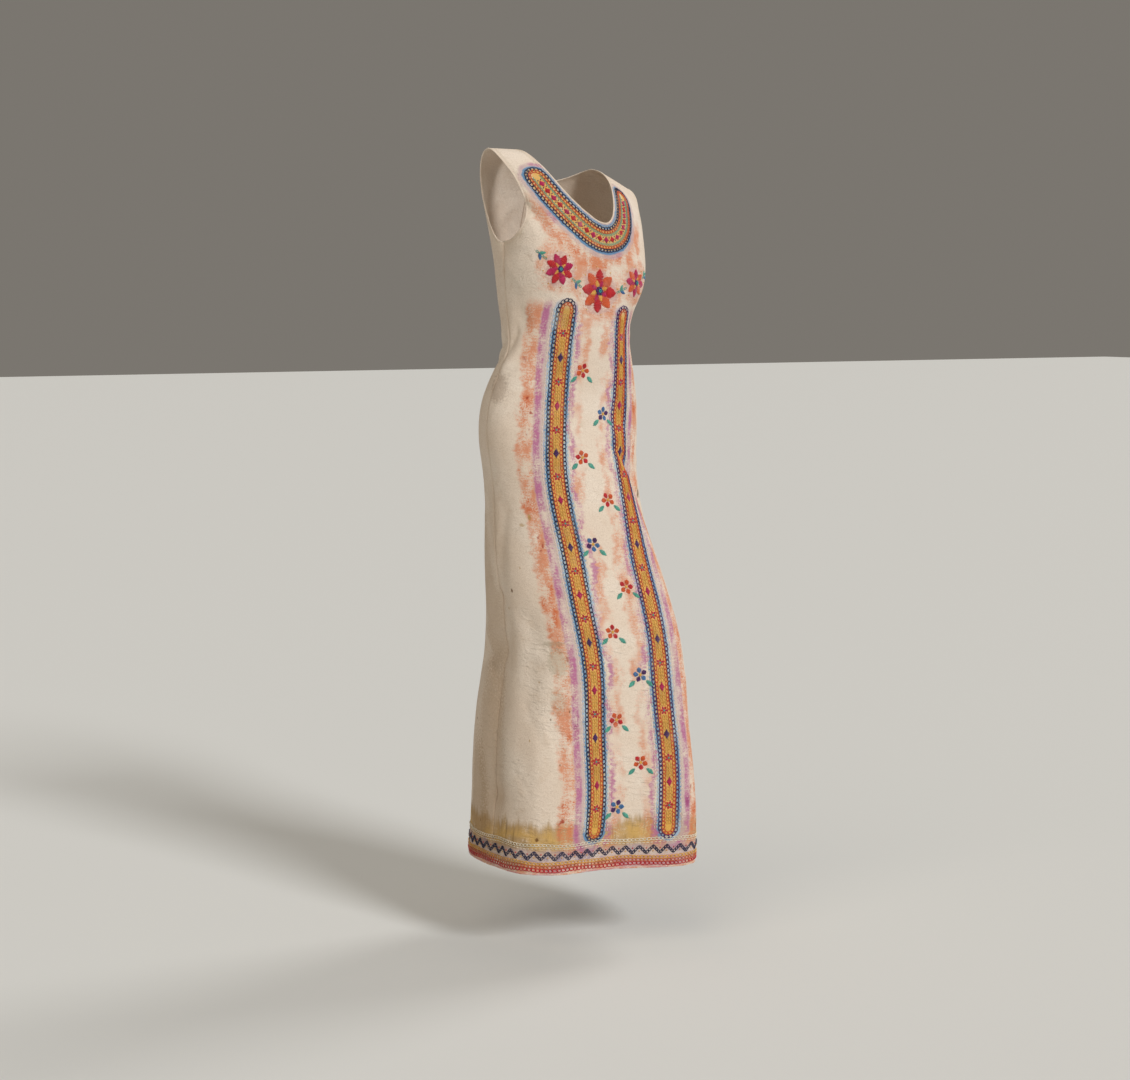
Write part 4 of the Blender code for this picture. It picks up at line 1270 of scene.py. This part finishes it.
def dye_work(n, colour, at, round_way, up):
    """Brushed colour beside the yoke, the flowers, the bands and the hem."""
    marks = brush(n, at)
    full = n.step(marks, 0.34, 0.50)
    thin = n.step(marks, 0.42, 0.56)
    faint = n.step(marks, 0.46, 0.60)
    slow = n.math("SUBTRACT", n.stretched(at, 7.0, 15.0), 0.5)
    quick = n.math("SUBTRACT", n.stretched(at, 34.0, 130.0, 3.0), 0.5)
    ragged = n.sum(n.product(slow, 0.046), n.product(quick, 0.026))
    slight = n.product(quick, 0.007)
    patch_one = n.stretched(at, 24.0, 9.0)
    patch_two = n.stretched(at, 17.0, 13.0)
    top = run_at(BAND_TOP_LEVEL)
    below = n.product(n.step(up, top + 0.020, top - 0.006), n.step(up, 0.030, 0.050))
    outer = n.step(n.math("ABSOLUTE", round_way), BAND_ASIDE - 0.002, BAND_ASIDE + 0.002)
    out_full = n.product(outer, below, full)
    out_thin = n.product(outer, below, thin)
    in_thin = n.product(n.math("SUBTRACT", 1.0, outer), below, thin)
    spotty = n.step(patch_two, 0.50, 0.62)
    blots = n.step(n.stretched(at, 60.0, 44.0), 0.66, 0.74)
    colour = hem_dye(n, colour, at, up)
    colour = washes(n, colour, n.value_of("band"), (
        (0.038, 0.074, 0.006, ragged, out_thin, 0.86, SALMON),
        (0.044, 0.070, 0.006, ragged, n.product(outer, below, faint, spotty), 0.90, ORANGE),
        (0.040, 0.066, 0.005, ragged, n.product(outer, below, blots), 0.80, RUST_RED),
        (0.034, 0.054, 0.004, ragged, n.product(outer, below, n.step(patch_one, 0.63, 0.72)), 0.75, OCHRE),
        (0.030, 0.046, 0.003, slight, out_full, 0.55, HAZE),
        (0.031, 0.044, 0.002, slight, n.product(out_thin, n.step(patch_one, 0.22, 0.36)), 0.95, MAUVE),
        (0.033, 0.042, 0.002, slight, n.product(out_thin, n.step(patch_two, 0.56, 0.66)), 0.70, PLUM),
        (0.020, 0.032, 0.003, slight, out_full, 0.70, HAZE),
        (0.014, 0.0235, 0.002, slight, n.product(below, n.step(patch_one, 0.34, 0.52)), 0.90, BLUE),
        (0.014, 0.0240, 0.002, slight, n.product(below, n.step(patch_one, 0.54, 0.40)), 0.85, PALE_BLUE),
        (0.024, 0.035, 0.003, ragged, in_thin, 0.85, MAUVE),
        (0.034, 0.054, 0.005, ragged, n.product(in_thin, n.step(patch_two, 0.36, 0.56)), 0.75, SALMON),
        (-0.010, 0.0150, 0.0012, slight, below, 0.92, GOLD),
        (-0.010, 0.010, 0.002, slight, n.product(below, spotty), 0.55, OCHRE),
    ))
    colour = washes(n, colour, n.value_of("bloom"), (
        (-0.010, 0.052, 0.006, ragged, thin, 0.75, SALMON),
        (-0.010, 0.035, 0.004, n.product(quick, 0.022), thin, 0.65, HAZE),
    ))
    chest = n.step(up, run_at(-0.060), run_at(-0.100))
    chest_faint = n.product(chest, faint, n.step(patch_one, 0.50, 0.62))
    return washes(n, colour, n.value_of("yoke"), (
        (0.026, 0.056, 0.005, ragged, n.product(chest, thin), 0.86, SALMON),
        (0.034, 0.052, 0.004, ragged, chest_faint, 0.90, ORANGE),
        (0.024, 0.035, 0.003, slight, full, 0.75, HAZE),
        (0.028, 0.037, 0.003, slight, n.product(thin, spotty), 0.85, MAUVE),
        (0.020, 0.0275, 0.0015, slight, n.step(patch_two, 0.26, 0.46), 0.90, BLUE),
        (-0.010, YOKE_HALF, 0.0012, slight, full, 0.90, GOLD),
    ))


def thread_material(name, colour, deep):
    """Twisted cotton thread with a soft shine."""
    n = Nodes(name)
    at = n.object_place()
    fuzz = n.noise(at, 2600.0, 2.0)
    twist = n.noise(at, 900.0, 3.0, 0.6, 1.5)
    mixed = n.over(colour, n.value_of("stitch"), 0.55, deep)
    mixed = n.over(mixed, n.step(twist, 0.55, 0.35), 0.45, deep)
    mixed = n.over(mixed, n.step(n.noise(at, 24.0, 3.0), 0.55, 0.80), 0.25, CREAM)
    n.set("Base Color", mixed)
    n.set("Roughness", n.math("MULTIPLY_ADD", fuzz, 0.25, 0.52))
    n.set("Sheen Weight", 0.35)
    n.set("Sheen Roughness", 0.4)
    n.set("Specular IOR Level", 0.35)
    n.set("Normal", n.bump(n.sum(n.product(twist, 0.7), n.product(fuzz, 0.3)), 0.00035))
    return n.material


def metal_material(name, colour, roughness):
    """Brass with a brushed face, dulled in places."""
    n = Nodes(name)
    at = n.object_place()
    dull = n.noise(at, 420.0, 4.0)
    n.set("Base Color", n.over(colour, n.step(dull, 0.50, 0.72), 0.55, TARNISH))
    n.set("Metallic", 1.0)
    n.set("Roughness", n.sum(n.product(dull, 0.22), roughness))
    n.set("Normal", n.bump(n.noise(n.scaled(at, 900.0, 900.0, 9000.0), 1.0, 3.0), 0.00006))
    return n.material


# Zip

TEETH_PITCH = 0.0017
TOOTH_TOP = -0.0003
TOOTH_HALF = 0.00056
TOOTH_REACH = 0.00195
TOOTH_INNER = -0.00045
TAPE_ROWS = 110
TAPE_COLUMNS = 9
LEAST_AWAY = 1e-9
TAPE_TOP = -0.0018


def tooth_shape():
    """One metal tooth that reaches past the middle, with bevelled corners."""
    points = []
    for up, tight in ((-0.0014, 0.0), (-0.0003, 0.0), (0.0, 0.00018)):
        for x, y in ((-1.0, 0.0), (1.0, 0.0), (1.0, 1.0), (-1.0, 1.0)):
            inner = TOOTH_INNER + tight
            reach = TOOTH_REACH - tight
            points.append((x * (TOOTH_HALF - tight), reach if y else inner, up))
    faces = skin(3, 4, False, True).tolist() + [[8, 9, 10, 11], [3, 2, 1, 0]]
    return np.array(points), np.array(faces)


def zip_pieces(metal, tape_cloth):
    """Tape and teeth of the closed zip."""
    low = run_at(ZIP_END_LEVEL)
    high = run_at(BACK_NECK_LEVEL) - ZIP_BELOW_NECK
    runs = np.linspace(low, high, TAPE_ROWS)
    across = np.linspace(-ZIP_TAPE_HALF, ZIP_TAPE_HALF, TAPE_COLUMNS)
    faces_at = []
    for lift in (TAPE_TOP, TAPE_TOP - ZIP_TAPE_WALL):
        row = []
        for away in across:
            angle = shifted(np.full(TAPE_ROWS, math.pi), runs, away + LEAST_AWAY)
            row.append(soft_point(angle, runs) + soft_facing(angle, runs) * lift)
        faces_at.append(np.stack(row, 1))
    grid = np.concatenate([faces_at[0], faces_at[1][:, ::-1]], 1)
    flat = np.stack(np.broadcast_arrays(np.concatenate([across, across[::-1]])[None], runs[:, None]), -1)
    ring = 2 * TAPE_COLUMNS
    faces = skin(TAPE_ROWS, ring, False, True).tolist()
    faces.append(list(range(ring))[::-1])
    faces.append(list(range((TAPE_ROWS - 1) * ring, TAPE_ROWS * ring)))
    tape = mesh_piece("zip_tape", grid.reshape(-1, 3), faces, tape_cloth, flat.reshape(-1, 2))
    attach(tape, "dress")
    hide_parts("zip_chain")

    teeth = Threads(77)
    places = np.arange(low + 0.004, high - 0.001, TEETH_PITCH / 2.0)
    side = np.where(np.arange(len(places)) % 2 == 0, 1.0, -1.0)
    middle = np.full(len(places), math.pi)
    here = soft_point(middle, places)
    out = soft_facing(middle, places)
    upward = soft_point(middle, places + 0.001) - here
    upward = unit(upward - out * (upward * out).sum(1, keepdims=True))
    here = here + out * TOOTH_TOP
    across_way = np.cross(out, upward) * side[:, None]
    teeth.lay(tooth_shape(), (here, upward * side[:, None], across_way, out))
    teeth.piece("zip_teeth", metal)


# Turned edges and plain sewing

# An edge's half width, half thickness and sides, and a topstitch's length, gap and thickness
EDGE_WIDE = 0.0016
EDGE_THICK = 0.00105
EDGE_SIDES = 10
TOPSTITCH = (0.0034, 0.0048, 0.00040)


def turned_edge(name, outline, closed, material):
    """The rounded fold along a neck, armhole or hem edge."""
    angle = outline[:, 0]
    run = outline[:, 1]
    out = soft_facing(angle, run)
    middle = soft_point(angle, run) - out * (WALL / 2.0 + 0.0001)
    aside = unit(np.cross(ways(middle, closed), out))
    count = len(middle)
    turn = around(EDGE_SIDES)
    walked = walked_along(middle)
    uneven = 1.0 + 0.06 * np.sin(walked * 210.0) + 0.05 * np.sin(walked * 530.0 + 1.0)
    ring = (np.cos(turn)[None, :, None] * aside[:, None] * EDGE_WIDE
            + np.sin(turn)[None, :, None] * out[:, None] * EDGE_THICK) * uneven[:, None, None]
    points = (middle[:, None] + ring).reshape(-1, 3)
    faces = skin(count, EDGE_SIDES, closed).tolist()
    if not closed:
        faces.append(list(range(EDGE_SIDES)))
        faces.append(list(range((count - 1) * EDGE_SIDES, count * EDGE_SIDES))[::-1])
    high = 0.004 + 0.001 * np.sin(turn) if name.startswith("hem") else turn * 0.0016 + 0.590
    flat = np.stack(np.broadcast_arrays(walked[:, None], high[None, :]), -1)
    thing = mesh_piece(name, points, faces, material, flat.reshape(-1, 2),
                       {"edge": np.full(len(points), 0.006), "inner": np.zeros(len(points))})
    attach(thing, "dress")
    return thing


def armhole_loop(side):
    """All the way round one armhole, up the front and down the back."""
    return np.concatenate([armhole(side, False), armhole(side, True)[::-1]])


def neck_loop():
    """The neckline from the zip round the right shoulder, the front and the left shoulder to the zip."""
    gap = 0.030 * math.pi
    bends_right = np.linspace(math.pi / 2.0 + gap, math.pi, 60)
    bends_left = np.linspace(0.0, math.pi / 2.0 - gap, 60)
    return np.concatenate([
        neck_curve(True, bends_right)[:-1],
        neck_curve(False, np.linspace(math.pi, 0.0, 120)),
        neck_curve(True, bends_left)[1:],
    ])


def plain_sewing(cream):
    """Topstitching along the edges, the hem and the zip, and short stitches across the foot of the zip."""
    for to_back, start, end in ((False, 0.02, 0.98), (True, 0.03, 0.465), (True, 0.535, 0.97)):
        path = neck_line(to_back, start * math.pi, end * math.pi, 140)
        inset = -0.0065 if to_back else 0.0065
        cream.dashes(beside(path[::-1], inset), *TOPSTITCH)
    for side in (-1.0, 1.0):
        for to_back in (False, True):
            path = laid_flat(*armhole(side, to_back)[:-2].T)
            inward = side * (-0.0065 if not to_back else 0.0065)
            cream.dashes(beside(path, inward), *TOPSTITCH)
        seam_runs = np.linspace(run_at(ZIP_END_LEVEL) - 0.012, run_at(BACK_NECK_LEVEL) - 0.006, 160)
        angle = shifted(np.full(160, math.pi), seam_runs, side * 0.0075)
        cream.dashes(laid_flat(angle, seam_runs), *TOPSTITCH)
    cream.dashes(hem_line(0.0285, 0.0), 0.0034, 0.0050, 0.00038)
    low = run_at(ZIP_END_LEVEL) - 0.012
    half = float(-walked_round(-math.pi, low))
    for side in (-1.0, 1.0):
        cream.lines([(side * (half - 0.0005), low), (side * (half - 0.0040), low)],
                    [(side * (half - 0.0035), low), (side * (half - 0.0070), low)], 0.00030)


# Needlework
CHAIN_SMALL = (0.0092, 0.0050, 0.00080)


def round_points(turn):
    """Places on a circle one wide on each side, laid flat."""
    return np.stack([np.cos(turn), np.sin(turn)], -1)


def flower(petals_thread, centre_thread, place, radius, petals, threads, start=0.0):
    """A satin-stitched flower."""
    place = np.asarray(place, float)
    for k in range(petals):
        turn = start + k * 2.0 * math.pi / petals
        way = round_points(turn)
        thread = petals_thread[k % len(petals_thread)]
        foot = place + way * radius * 0.24
        starts, ends = leaf_lines(foot, way, radius * 0.76, radius * 2.3 / petals ** 0.8, threads)
        thread.lines(starts, ends, radius * 0.76 / threads * 0.62)
    centre = place + radius * 0.13 * round_points(around(6))
    centre_thread.knots(np.concatenate([centre, [place]]), radius * 0.085 + 0.0003)


def leaf(thread, place, way, length, threads=9):
    """A satin-stitched leaf."""
    starts, ends = leaf_lines(place, way, length, length * 0.42, threads)
    thread.lines(starts, ends, length / threads * 0.62)


def lozenge(thread, place, way, length, width, threads=7):
    """A diamond filled with straight stitches."""
    way = np.asarray(way, float) / np.hypot(*way)
    aside = right_of(way)
    share = np.linspace(-0.9, 0.9, threads)
    half = width / 2.0 * (1.02 - np.abs(share))
    middle = np.asarray(place, float) + share[:, None] * length / 2.0 * way
    thread.lines(middle + half[:, None] * aside, middle - half[:, None] * aside, length / threads * 0.60)


def herringbone(thread, path, half, gap):
    """Crossed stitches along a line."""
    path = spaced(path, gap)
    ahead = ways(path) * gap * 0.15
    over = right_of(ways(path)) * half
    for side, lift in ((-1.0, 0.0), (1.0, 0.00035)):
        starts = path[:-1] + side * over[:-1] - ahead[:-1]
        thread.lines(starts, path[1:] - side * over[1:] + ahead[1:], 0.00045, lift)


def needlework():
    """Every stitched line and motif, by colour of thread."""
    names = ("navy", "purple", "orange", "red", "magenta", "gold", "teal", "cream", "blue", "rust", "bead")
    t = {name: Threads(11 + place) for place, name in enumerate(names)}

    t["navy"].chain(ribbon(YOKE, YOKE_HALF))
    t["orange"].chain(ribbon(YOKE, YOKE_HALF - 0.0062), *CHAIN_SMALL)
    for offset in (-0.0086, 0.0086):
        herringbone(t["teal"], beside(YOKE, offset), 0.0024, 0.0054)
    marks = spaced(YOKE, 0.0165)
    way = ways(marks)
    for k in range(1, len(marks) - 1):
        thread = (t["red"], t["magenta"])[k % 2]
        lozenge(thread, marks[k], way[k], 0.0132, 0.0100)
    between = (marks[1:] + marks[:-1]) / 2.0
    aside = right_of(ways(between))
    t["purple"].knots(np.concatenate([between + aside * 0.0034, between - aside * 0.0034]), 0.0013)

    garland = [(-0.140, -0.180), (-0.112, -0.200), (-0.083, -0.212), (-0.042, -0.236), (0.0, -0.246),
               (0.042, -0.236), (0.083, -0.212), (0.112, -0.200), (0.140, -0.180)]
    line = np.array([(x, run_at(level)) for x, level in garland])
    spread = np.linspace(0, len(line) - 1, 120)
    line = np.stack([np.interp(spread, np.arange(len(line)), line[:, k]) for k in range(2)], -1)
    for _ in range(30):
        line[1:-1] = (line[:-2] + line[2:] + 2.0 * line[1:-1]) / 4.0
    clear = np.ones(len(line), bool)
    for x, level, radius in BLOOMS:
        clear &= np.hypot(line[:, 0] - x, line[:, 1] - run_at(level)) > radius + 0.002
    pieces = np.split(line, np.flatnonzero(np.diff(clear.astype(int))) + 1)
    for piece in pieces:
        x, high = piece[len(piece) // 2]
        apart = min(math.hypot(x - b[0], high - run_at(b[1])) - b[2] for b in BLOOMS)
        if apart > 0.0 and len(piece) > 6:
            t["teal"].chain(piece, 0.0066, 0.0034, 0.00055)
            way = ways(piece)
            for k in range(3, len(piece) - 3, 7):
                for side in (-1.0, 1.0):
                    turn = np.array([way[k][0] - side * way[k][1], way[k][1] + side * way[k][0]])
                    leaf(t["teal"] if side > 0 else t["blue"], piece[k], turn, 0.0125)
    for number, (x, level, radius) in enumerate(BLOOMS):
        petals = ((t["red"], t["orange"]), (t["magenta"], t["red"]), (t["orange"], t["magenta"]))[number]
        flower(petals, t["purple"], (x, run_at(level)), radius, 8, 19 if number == 0 else 15, 0.39 * number)
        flower((t["gold"], t["magenta"]), t["purple"], (x, run_at(level)), radius * 0.50, 8, 8,
               0.39 * number + 0.39)
        t["bead"].lay(bead_shape(0.0021, 0.0010),
                      frames_on(np.array([(x, run_at(level))]), np.array([(1.0, 0.0)]), radius * 0.10))
        ring = (np.arange(16) + 0.5) * math.pi / 8.0 + 0.39 * number
        t["gold"].knots(np.array([(x, run_at(level))]) + (radius + 0.0045)
                        * round_points(ring)[number % 2::2], 0.0013)

    for number, band in enumerate(BANDS):
        rim = t["purple"] if number else t["navy"]
        rim.chain(ribbon(band, BAND_HALF))
        t["orange"].chain(ribbon(band, BAND_HALF - 0.0064), *CHAIN_SMALL)
        for offset in (-0.0222, 0.0222, 0.0268, -0.0268):
            t["cream"].dashes(beside(band, offset))
        marks = spaced(band, 0.044)
        way = ways(marks)
        for k in range(1, len(marks)):
            if k < len(marks) - 1 and k % 2:
                flower((t["red"], t["magenta"]), t["teal"], marks[k], 0.0076, 6, 5, 0.2 * k)
            elif k < len(marks) - 1:
                lozenge(t["magenta" if k % 4 else "purple"], marks[k], way[k], 0.0165, 0.0090)
            half_way = (marks[k] + marks[k - 1]) / 2.0
            run_line = np.linspace(half_way - way[k] * 0.0125, half_way + way[k] * 0.0125, 12)
            for offset in (-0.0025, 0.0025):
                t["gold"].chain(beside(run_line, offset), 0.0084, 0.0044, 0.00075)

    chance = np.random.default_rng(5)
    for k in range(11):
        high = 0.118 + 0.081 * k
        x = (0.024 if k % 2 else -0.024) + 0.004 * chance.standard_normal()
        petals = (t["orange"], t["red"]) if k % 3 else (t["blue"], t["purple"])
        flower(petals, t["gold"], (x, high), 0.0135, 5, 9, k)
        for side in (-1.0, 1.0):
            leaf(t["teal"], (x + side * 0.011, high - 0.011), (side * 0.8, -0.7), 0.0160)

    t["red"].chain(hem_line(0.0090))
    t["rust"].chain(hem_line(0.0154), 0.0092, 0.0052, 0.00080)
    t["gold"].chain(hem_line(0.0216), *CHAIN_SMALL)
    around = hem_line(0.0, 0.0)
    reach = float(around[-1, 0])
    turns = np.arange(-reach + 0.006, reach - 0.006, 0.0130)
    zigzag = np.stack([turns, np.where(np.arange(len(turns)) % 2 == 0, 0.0290, 0.0420)], -1)
    for start, end in zip(zigzag[:-1], zigzag[1:]):
        t["navy"].chain(np.linspace(start, end, 6), 0.0088, 0.0046, 0.00080)
    t["red"].knots(zigzag[::2] + [0.0, 0.0095], 0.0014)
    t["gold"].knots(zigzag[1::2] - [0.0, 0.0095], 0.0014)
    t["cream"].dashes(hem_line(0.0490))
    t["cream"].chain(hem_line(0.0550), 0.0092, 0.0046, 0.00070)
    return t


THREAD_COLOURS = {
    "navy": (tone(38, 38, 78), tone(20, 22, 48)),
    "purple": (tone(84, 42, 104), tone(46, 24, 66)),
    "orange": (tone(216, 96, 44), tone(178, 62, 30)),
    "rust": (tone(206, 112, 62), tone(150, 66, 34)),
    "red": (tone(204, 38, 44), tone(146, 22, 34)),
    "magenta": (tone(196, 34, 92), tone(140, 20, 64)),
    "gold": (tone(226, 176, 84), tone(190, 134, 50)),
    "teal": (tone(92, 176, 156), tone(52, 122, 112)),
    "cream": (tone(236, 228, 210), tone(206, 192, 164)),
    "blue": (tone(72, 122, 172), tone(44, 78, 124)),
    "bead": (tone(38, 176, 172), tone(24, 128, 132)),
}


def panel_values(angle, run, border):
    """What the cloth's material reads at every point: distances to the edge and to each line of the design."""
    flat = laid_flat(angle, run)
    side = np.where(flat[:, 0] > 0.0, 1.0, -1.0)
    band = np.abs(flat[:, 0] - side * BAND_ASIDE - band_waver(side, run))
    band = np.hypot(band, np.maximum(BAND_LOW - run, 0.0))
    band = np.hypot(band, np.maximum(run - run_at(BAND_TOP_LEVEL), 0.0))
    bloom = np.full(len(run), 1.0)
    for x, level, radius in BLOOMS:
        away = np.hypot(flat[:, 0] - x, flat[:, 1] - run_at(level)) - radius + 0.031
        bloom = np.minimum(bloom, away)
    yoke = np.full(len(run), 1.0)
    near = (np.abs(flat[:, 0]) < 0.22) & (run > run_at(-0.30))
    yoke[near] = away_from(YOKE[:-1], YOKE[1:], flat[near])
    points = np.stack([angle * PLAN_RADIUS, run], -1)
    edge = away_from(border, np.roll(border, -1, 0), points)
    return {"band": band, "bloom": bloom, "yoke": yoke, "edge": edge}


def main():
    """Builds every piece, hangs it on the dress and hides the model part it replaces."""
    front_cloth = canvas_material("front_canvas", True, True)
    back_cloth = canvas_material("back_canvas", False, True)
    plain_cloth = canvas_material("edge_canvas", False, False)
    front = shell("front_cloth", front_outline(), front_cloth)
    left = shell("back_left_cloth", back_outline(1.0), back_cloth)
    right = shell("back_right_cloth", back_outline(-1.0), back_cloth)
    for thing, node, slot in (
            (front, "front_panel", "canvas_front"),
            (left, "back_panel_left", "canvas_back_left"),
            (right, "back_panel_right", "canvas_back_right")):
        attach(thing, "dress")
        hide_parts(node)

    edges = [turned_edge("neck_edge", neck_loop(), False, plain_cloth)]
    for side, name in ((1.0, "armhole_edge_left"), (-1.0, "armhole_edge_right")):
        edges.append(turned_edge(name, armhole_loop(side), True, plain_cloth))
    hem_angles = np.linspace(-math.pi, math.pi, 401)[:-1]
    edges.append(turned_edge("hem_edge", np.stack([hem_angles, np.full(400, 0.0012)], -1), True, plain_cloth))

    threads = needlework()
    plain_sewing(threads["cream"])
    for name, stitches in threads.items():
        colour, deep = THREAD_COLOURS[name]
        stitches.piece("thread_" + name, thread_material("thread_" + name, colour, deep))

    brass = metal_material("zip_brass", tone(196, 156, 92), 0.26)
    tape_cloth = canvas_material("zip_tape_cloth", False, False)
    zip_pieces(brass, tape_cloth)
    for node in ("zip_slider", "zip_pull"):
        for place in bpy.data.objects[node].material_slots:
            place.material = brass


# Camera, floor and light

VIEW_TURN = math.radians(-31.0)
VIEW_DISTANCE = 4.58
VIEW_ASIDE = 0.0105
VIEW_HEIGHT = -0.238
VIEW_DROP = math.radians(5.9)
LENS = 76.46
FLOOR_LEVEL = -1.46
FLOOR_HALF = 30.0
WORLD_COLOUR = (0.93, 0.86, 0.76, 1.0)
WORLD_STRENGTH = 0.21
# Lamps: name, way to the camera's right, toward the camera, up, angle, strength, colour
LAMPS = (
    ("key", 2.0, 2.4, 2.0, 0.28, 2.00, (1.0, 1.0, 1.0)),
    ("fill", -1.1, 1.9, 2.4, 0.70, 0.54, (1.0, 0.88, 0.72)),
    ("rim", 2.0, -1.8, 1.7, 0.40, 0.95, (1.0, 0.98, 0.95)),
)


def camera_and_light():
    """The photo's view of the dress, a plain pale floor and three soft lamps."""
    back = Vector((math.sin(VIEW_TURN), -math.cos(VIEW_TURN), 0.0))
    aside = Vector((math.cos(VIEW_TURN), math.sin(VIEW_TURN), 0.0))
    lens = bpy.data.cameras.new("camera")
    lens.lens = LENS
    lens.sensor_width = 36.0
    camera = bpy.data.objects.new("camera", lens)
    camera.location = back * VIEW_DISTANCE + aside * VIEW_ASIDE + Vector((0.0, 0.0, VIEW_HEIGHT))
    look = -back * math.cos(VIEW_DROP) - Vector((0.0, 0.0, math.sin(VIEW_DROP)))
    camera.rotation_euler = look.to_track_quat("-Z", "Y").to_euler()
    bpy.context.scene.collection.objects.link(camera)
    bpy.context.scene.camera = camera

    mesh = bpy.data.meshes.new("floor")
    corners = [(x * FLOOR_HALF, y * FLOOR_HALF, FLOOR_LEVEL) for x, y in ((-1, -1), (1, -1), (1, 1), (-1, 1))]
    mesh.from_pydata(corners, [], [(0, 1, 2, 3)])
    floor = bpy.data.objects.new("floor", mesh)
    paint = Nodes("floor_paint")
    paint.set("Base Color", tone(222, 223, 221))
    paint.set("Roughness", 0.9)
    mesh.materials.append(paint.material)
    bpy.context.scene.collection.objects.link(floor)

    bpy.context.scene.view_settings.view_transform = "Standard"
    world = bpy.data.worlds.new("studio")
    world.use_nodes = True
    air = world.node_tree.nodes["Background"]
    air.inputs["Color"].default_value = WORLD_COLOUR
    air.inputs["Strength"].default_value = WORLD_STRENGTH
    bpy.context.scene.world = world
    for name, right_way, toward, up, spread, strength, colour in LAMPS:
        lamp = bpy.data.lights.new(name, "SUN")
        lamp.angle = spread
        lamp.energy = strength
        lamp.color = colour
        thing = bpy.data.objects.new(name, lamp)
        place = aside * right_way + back * toward + Vector((0.0, 0.0, up))
        thing.location = place
        thing.rotation_euler = (-place).to_track_quat("-Z", "Y").to_euler()
        bpy.context.scene.collection.objects.link(thing)


main()
camera_and_light()
